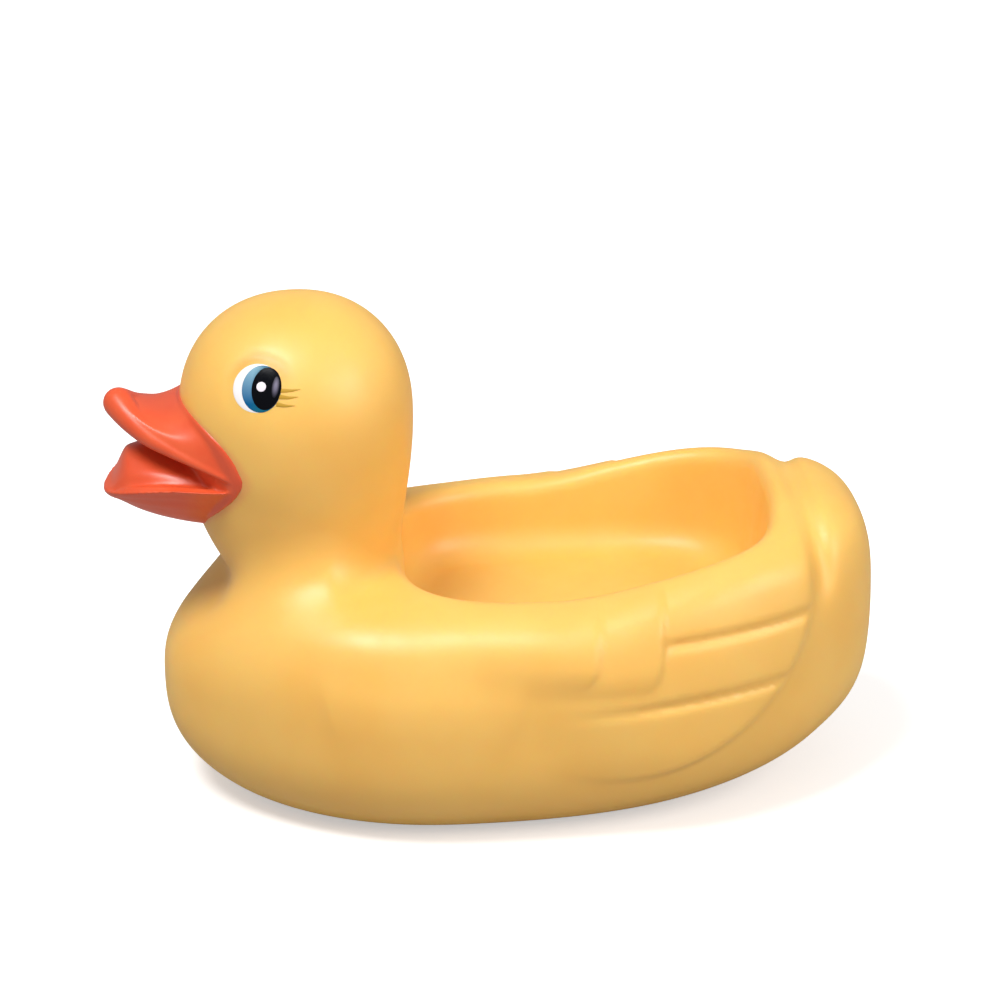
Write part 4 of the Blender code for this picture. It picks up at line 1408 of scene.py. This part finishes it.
@dataclass
class Eyes:
    """Both painted eyes: stacked ovals of ink, with a painted reflection in each pupil, and three lashes behind
    each.
    """

    skin: Skin
    layer_step: float = 0.05
    root: float = 0.4
    around: int = 72
    dome: tuple[Pair, ...] = ((1.0, 0.2), (0.985, 0.8), (0.93, 1.0), (0.75, 1.0), (0.5, 1.0), (0.25, 1.0),
                              (0.02, 1.0))
    lash_ring: int = 8
    lash_stations: int = 14
    lash_taper: float = 1.5
    lash_tip: float = 0.04
    ovals: tuple[Oval, ...] = (
        Oval("eye_white", (0.0, 0.0), (5.5, 5.4), 1, WHITE),
        Oval("iris", (1.1, -0.05), (4.4, 5.2), 2, BLUE),
        Oval("pupil", (2.2, 0.15), (3.3, 4.75), 3, BLACK),
        # The painted reflection in the pupil.
        Oval("pupil_painted_reflection", (4.1, 0.7), (0.85, 2.4), 4, PAINTED_REFLECTION),
        Oval("glint", (1.0, 0.3), (1.05, 1.05), 5, GLINT),
    )
    lashes: tuple[Lash, ...] = (
        Lash((5.2, 0.1), (9.8, 1.1), -0.1),
        Lash((5.2, -1.3), (9.6, -0.7), -0.1),
        Lash((4.9, -3.0), (9.2, -2.8), -0.1),
    )

    def on_skin(self, side: Side, across: np.ndarray, above: np.ndarray, proud: float) -> np.ndarray:
        """Points on the head, raised over its surface.

        Args:
            side: The eye's side.
            across: How far back from the eye's centre each point is.
            above: How far up each point is.
            proud: How far over the surface the points stand.

        Returns:
            The points.
        """
        out, back, up = self.skin.eyes.axes(side)
        centre = np.array(self.skin.head.centre)
        middle = settle(self.skin.distance, centre + out[None, :] * self.skin.head.half_width, 4, 4.0)
        points = middle + across[:, None] * back + above[:, None] * up
        points = settle(self.skin.distance, points, 4, 3.0)
        return self.skin.raised(points, proud)

    def oval(self, oval: Oval, side: Side, placement: Placement) -> None:
        """Makes and dresses one oval of ink.

        Args:
            oval: The oval.
            side: The eye's side.
            placement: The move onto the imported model.
        """
        turn = turns(self.around)
        height = oval.layer * self.layer_step
        rings, ups, outs, backs = [], [], [], []
        steps = [(1.0, -self.root)] + [(scale, share * height) for scale, share in self.dome]
        for scale, proud in steps:
            across = oval.shift[0] + scale * oval.half_sizes[0] * np.cos(turn)
            above = oval.shift[1] + scale * oval.half_sizes[1] * np.sin(turn)
            rings.append(self.on_skin(side, across, above, proud))
            ups.append(scale * np.sin(turn))
            outs.append(np.full(self.around, scale))
            backs.append(scale * np.cos(turn))
        piece = lofted(f"{oval.name}_{side.name.lower()}", rings, placement)
        add_values(piece, "paint_up", np.concatenate(ups))
        add_values(piece, "paint_out", np.concatenate(outs))
        add_values(piece, "paint_back", np.concatenate(backs))
        finished(piece, bpy.data.materials.get(oval.paint.name) or oval.paint.material(),
                 "soft_vinyl", "duck_body")

    def lash(self, lash: Lash, number: int, side: Side, placement: Placement) -> None:
        """Makes and dresses one lash, which tapers to a point.

        Args:
            lash: The lash.
            number: Its place in the row.
            side: The eye's side.
            placement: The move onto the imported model.
        """
        turn = turns(self.lash_ring)
        rings = []
        for share in np.linspace(0.0, 1.0, self.lash_stations):
            width = lash.half_width * (1.0 - share**self.lash_taper) + self.lash_tip
            across = lash.start[0] + (lash.end[0] - lash.start[0]) * share
            above = lash.start[1] + (lash.end[1] - lash.start[1]) * share
            above += 4.0 * lash.bow * share * (1.0 - share)
            ring = self.on_skin(side, np.full(self.lash_ring, across), above + width * np.cos(turn), 0.0)
            slopes = gradient(self.skin.distance, ring)
            rings.append(ring + 2.0 * self.layer_step * np.sin(turn)[:, None] * slopes)
        piece = lofted(f"lash_{number}_{side.name.lower()}", rings, placement)
        add_values(piece, "paint_up", np.zeros(len(piece.data.vertices)))
        finished(piece, bpy.data.materials.get(BROWN.name) or BROWN.material(), "soft_vinyl", "duck_body")

    def build(self, placement: Placement) -> None:
        """Makes both eyes.

        Args:
            placement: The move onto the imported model.
        """
        for side in Side:
            for oval in self.ovals:
                self.oval(oval, side, placement)
            for number, lash in enumerate(self.lashes):
                self.lash(lash, number, side, placement)


@dataclass
class Squeaker:
    """The squeaker's solids, which keep their shape and get their finish."""

    plastic: MouldedPlastic = MouldedPlastic("moulded_polypropylene", "#F0EFEA", 0.42)
    film: MouldedPlastic = MouldedPlastic("cut_polyester_film", "#DDE2DE", 0.16, 0.6, 0.002, 0.0)
    plastic_nodes: tuple[str, ...] = ("squeaker_cup", "squeaker_cover", "reed_block")
    film_nodes: tuple[str, ...] = ("reed",)

    def dress(self) -> None:
        """Gives each solid its material."""
        for finish, names in ((self.plastic, self.plastic_nodes), (self.film, self.film_nodes)):
            material = finish.material()
            for name in names:
                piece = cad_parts[name]
                piece.data.materials.clear()
                piece.data.materials.append(material)
                LOG.info("%s: %s", name, material.name)


@dataclass
class Studio:
    """A white floor, soft lamps and the camera."""

    azimuth: float = math.radians(-6.0)
    elevation: float = math.radians(23.0)
    distance: float = 0.90
    photo_size: float = 1000.0
    photo_low: Pair = (103.0, 292.0)
    photo_high: Pair = (871.0, 822.0)
    sensor_mm: float = 36.0
    floor_size: float = 6.0
    floor_glow: float = 0.45
    floor_colour: str = "#A8A8A8"
    floor_seen_colour: str = "#F6F6F6"
    floor_roughness: float = 0.9
    sky: float = 0.34
    aim: Triple = (0.0, 0.0, 0.05)
    lamps: tuple[tuple[str, Triple, float, float], ...] = (
        ("key", (-0.42, -0.38, 1.12), 0.50, 11.5),
        ("fill", (0.80, -0.72, 0.72), 0.80, 7.5),
    )

    def lamp(self, name: str, place: Triple, size: float, power: float) -> None:
        """A round white lamp that points at the duck.

        Args:
            name: The lamp's name.
            place: Where it stands, in metres.
            size: How wide it is, in metres.
            power: Its power in watts.
        """
        data = bpy.data.lights.new(name, "AREA")
        data.shape = "DISK"
        data.size = size
        data.energy = power
        lamp = bpy.data.objects.new(name, data)
        lamp.location = place
        lamp.rotation_euler = (Vector(self.aim) - Vector(place)).to_track_quat("-Z", "Y").to_euler()
        bpy.context.scene.collection.objects.link(lamp)

    def floor(self) -> None:
        """A white floor, brightened to paper white for the camera alone, which keeps its shadow."""
        half = self.floor_size / 2.0
        corners = np.array(((-half, -half, 0.0), (half, -half, 0.0), (half, half, 0.0), (-half, half, 0.0)))
        floor = mesh_piece("floor", corners, [(0, 1, 2, 3)])
        material, tree, shader = new_material("white_paper", {
            "Roughness": self.floor_roughness, "Emission Color": (1.0, 1.0, 1.0, 1.0)})
        seen = add_node(tree, "ShaderNodeLightPath", {}, {}).outputs["Is Camera Ray"]
        white = add_node(tree, "ShaderNodeMix", {"data_type": "RGBA"}, {
            0: seen, 6: linear(self.floor_colour), 7: linear(self.floor_seen_colour)}).outputs[2]
        tree.links.new(white, shader.inputs["Base Color"])
        glow = add_node(tree, "ShaderNodeMapRange", {}, {"Value": seen, "To Max": self.floor_glow}).outputs[0]
        tree.links.new(glow, shader.inputs["Emission Strength"])
        floor.data.materials.append(material)
        floor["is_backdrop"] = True

    def world(self) -> None:
        """Even white light from all round."""
        world = bpy.data.worlds.new("studio")
        bpy.context.scene.world = world
        world.use_nodes = True
        light = world.node_tree.nodes["Background"]
        light.inputs["Color"].default_value = (1.0, 1.0, 1.0, 1.0)
        light.inputs["Strength"].default_value = self.sky

    def camera(self) -> None:
        """A camera whose view of the duck fills the same box as in the photograph."""
        data = bpy.data.cameras.new("camera")
        camera = bpy.data.objects.new("camera", data)
        bpy.context.scene.collection.objects.link(camera)
        back = Vector((math.sin(self.azimuth) * math.cos(self.elevation),
                       -math.cos(self.azimuth) * math.cos(self.elevation), math.sin(self.elevation)))
        low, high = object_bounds()
        centre = (low + high) / 2.0
        camera.location = centre + back * self.distance
        camera.rotation_euler = (-back).to_track_quat("-Z", "Y").to_euler()
        right = Vector((math.cos(self.azimuth), math.sin(self.azimuth), 0.0))
        up = back.cross(right)
        seen = np.array([vert.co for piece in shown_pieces() for vert in piece.data.vertices]) - np.array(centre)
        depth = self.distance - seen @ np.array(back)
        across, above = seen @ np.array(right) / depth, seen @ np.array(up) / depth
        focal = (self.photo_high[0] - self.photo_low[0]) / (across.max() - across.min())
        data.sensor_width = self.sensor_mm
        data.lens = focal * self.sensor_mm / self.photo_size
        middle_x = (self.photo_low[0] + self.photo_high[0]) / 2.0
        middle_y = (self.photo_low[1] + self.photo_high[1]) / 2.0
        data.shift_x = (across.max() + across.min()) / 2.0 * focal / self.photo_size
        data.shift_x -= (middle_x - self.photo_size / 2.0) / self.photo_size
        data.shift_y = (above.max() + above.min()) / 2.0 * focal / self.photo_size
        data.shift_y += (middle_y - self.photo_size / 2.0) / self.photo_size
        tall = (above.max() - above.min()) * focal
        LOG.info("lens %.1f mm, %.0f px tall, shift %.3f %.3f", data.lens, tall, data.shift_x, data.shift_y)
        bpy.context.scene.camera = camera

    def build(self) -> None:
        """Makes the floor, the lamps, the world and the camera."""
        self.floor()
        self.world()
        for lamp in self.lamps:
            self.lamp(*lamp)
        self.camera()
        bpy.context.scene.view_settings.view_transform = "Standard"


def main() -> None:
    """Builds the duck piece by piece, and then the studio round it."""
    logging.basicConfig(level=logging.INFO, format="%(name)s: %(message)s")
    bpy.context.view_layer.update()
    skin = Skin()
    placement = Placement()
    bill = Bill(skin)
    Moulding(skin).build(placement, bill)
    bill.build(placement)
    Eyes(skin).build(placement)
    Squeaker().dress()
    Studio().build()


if __name__ == "__main__":
    main()
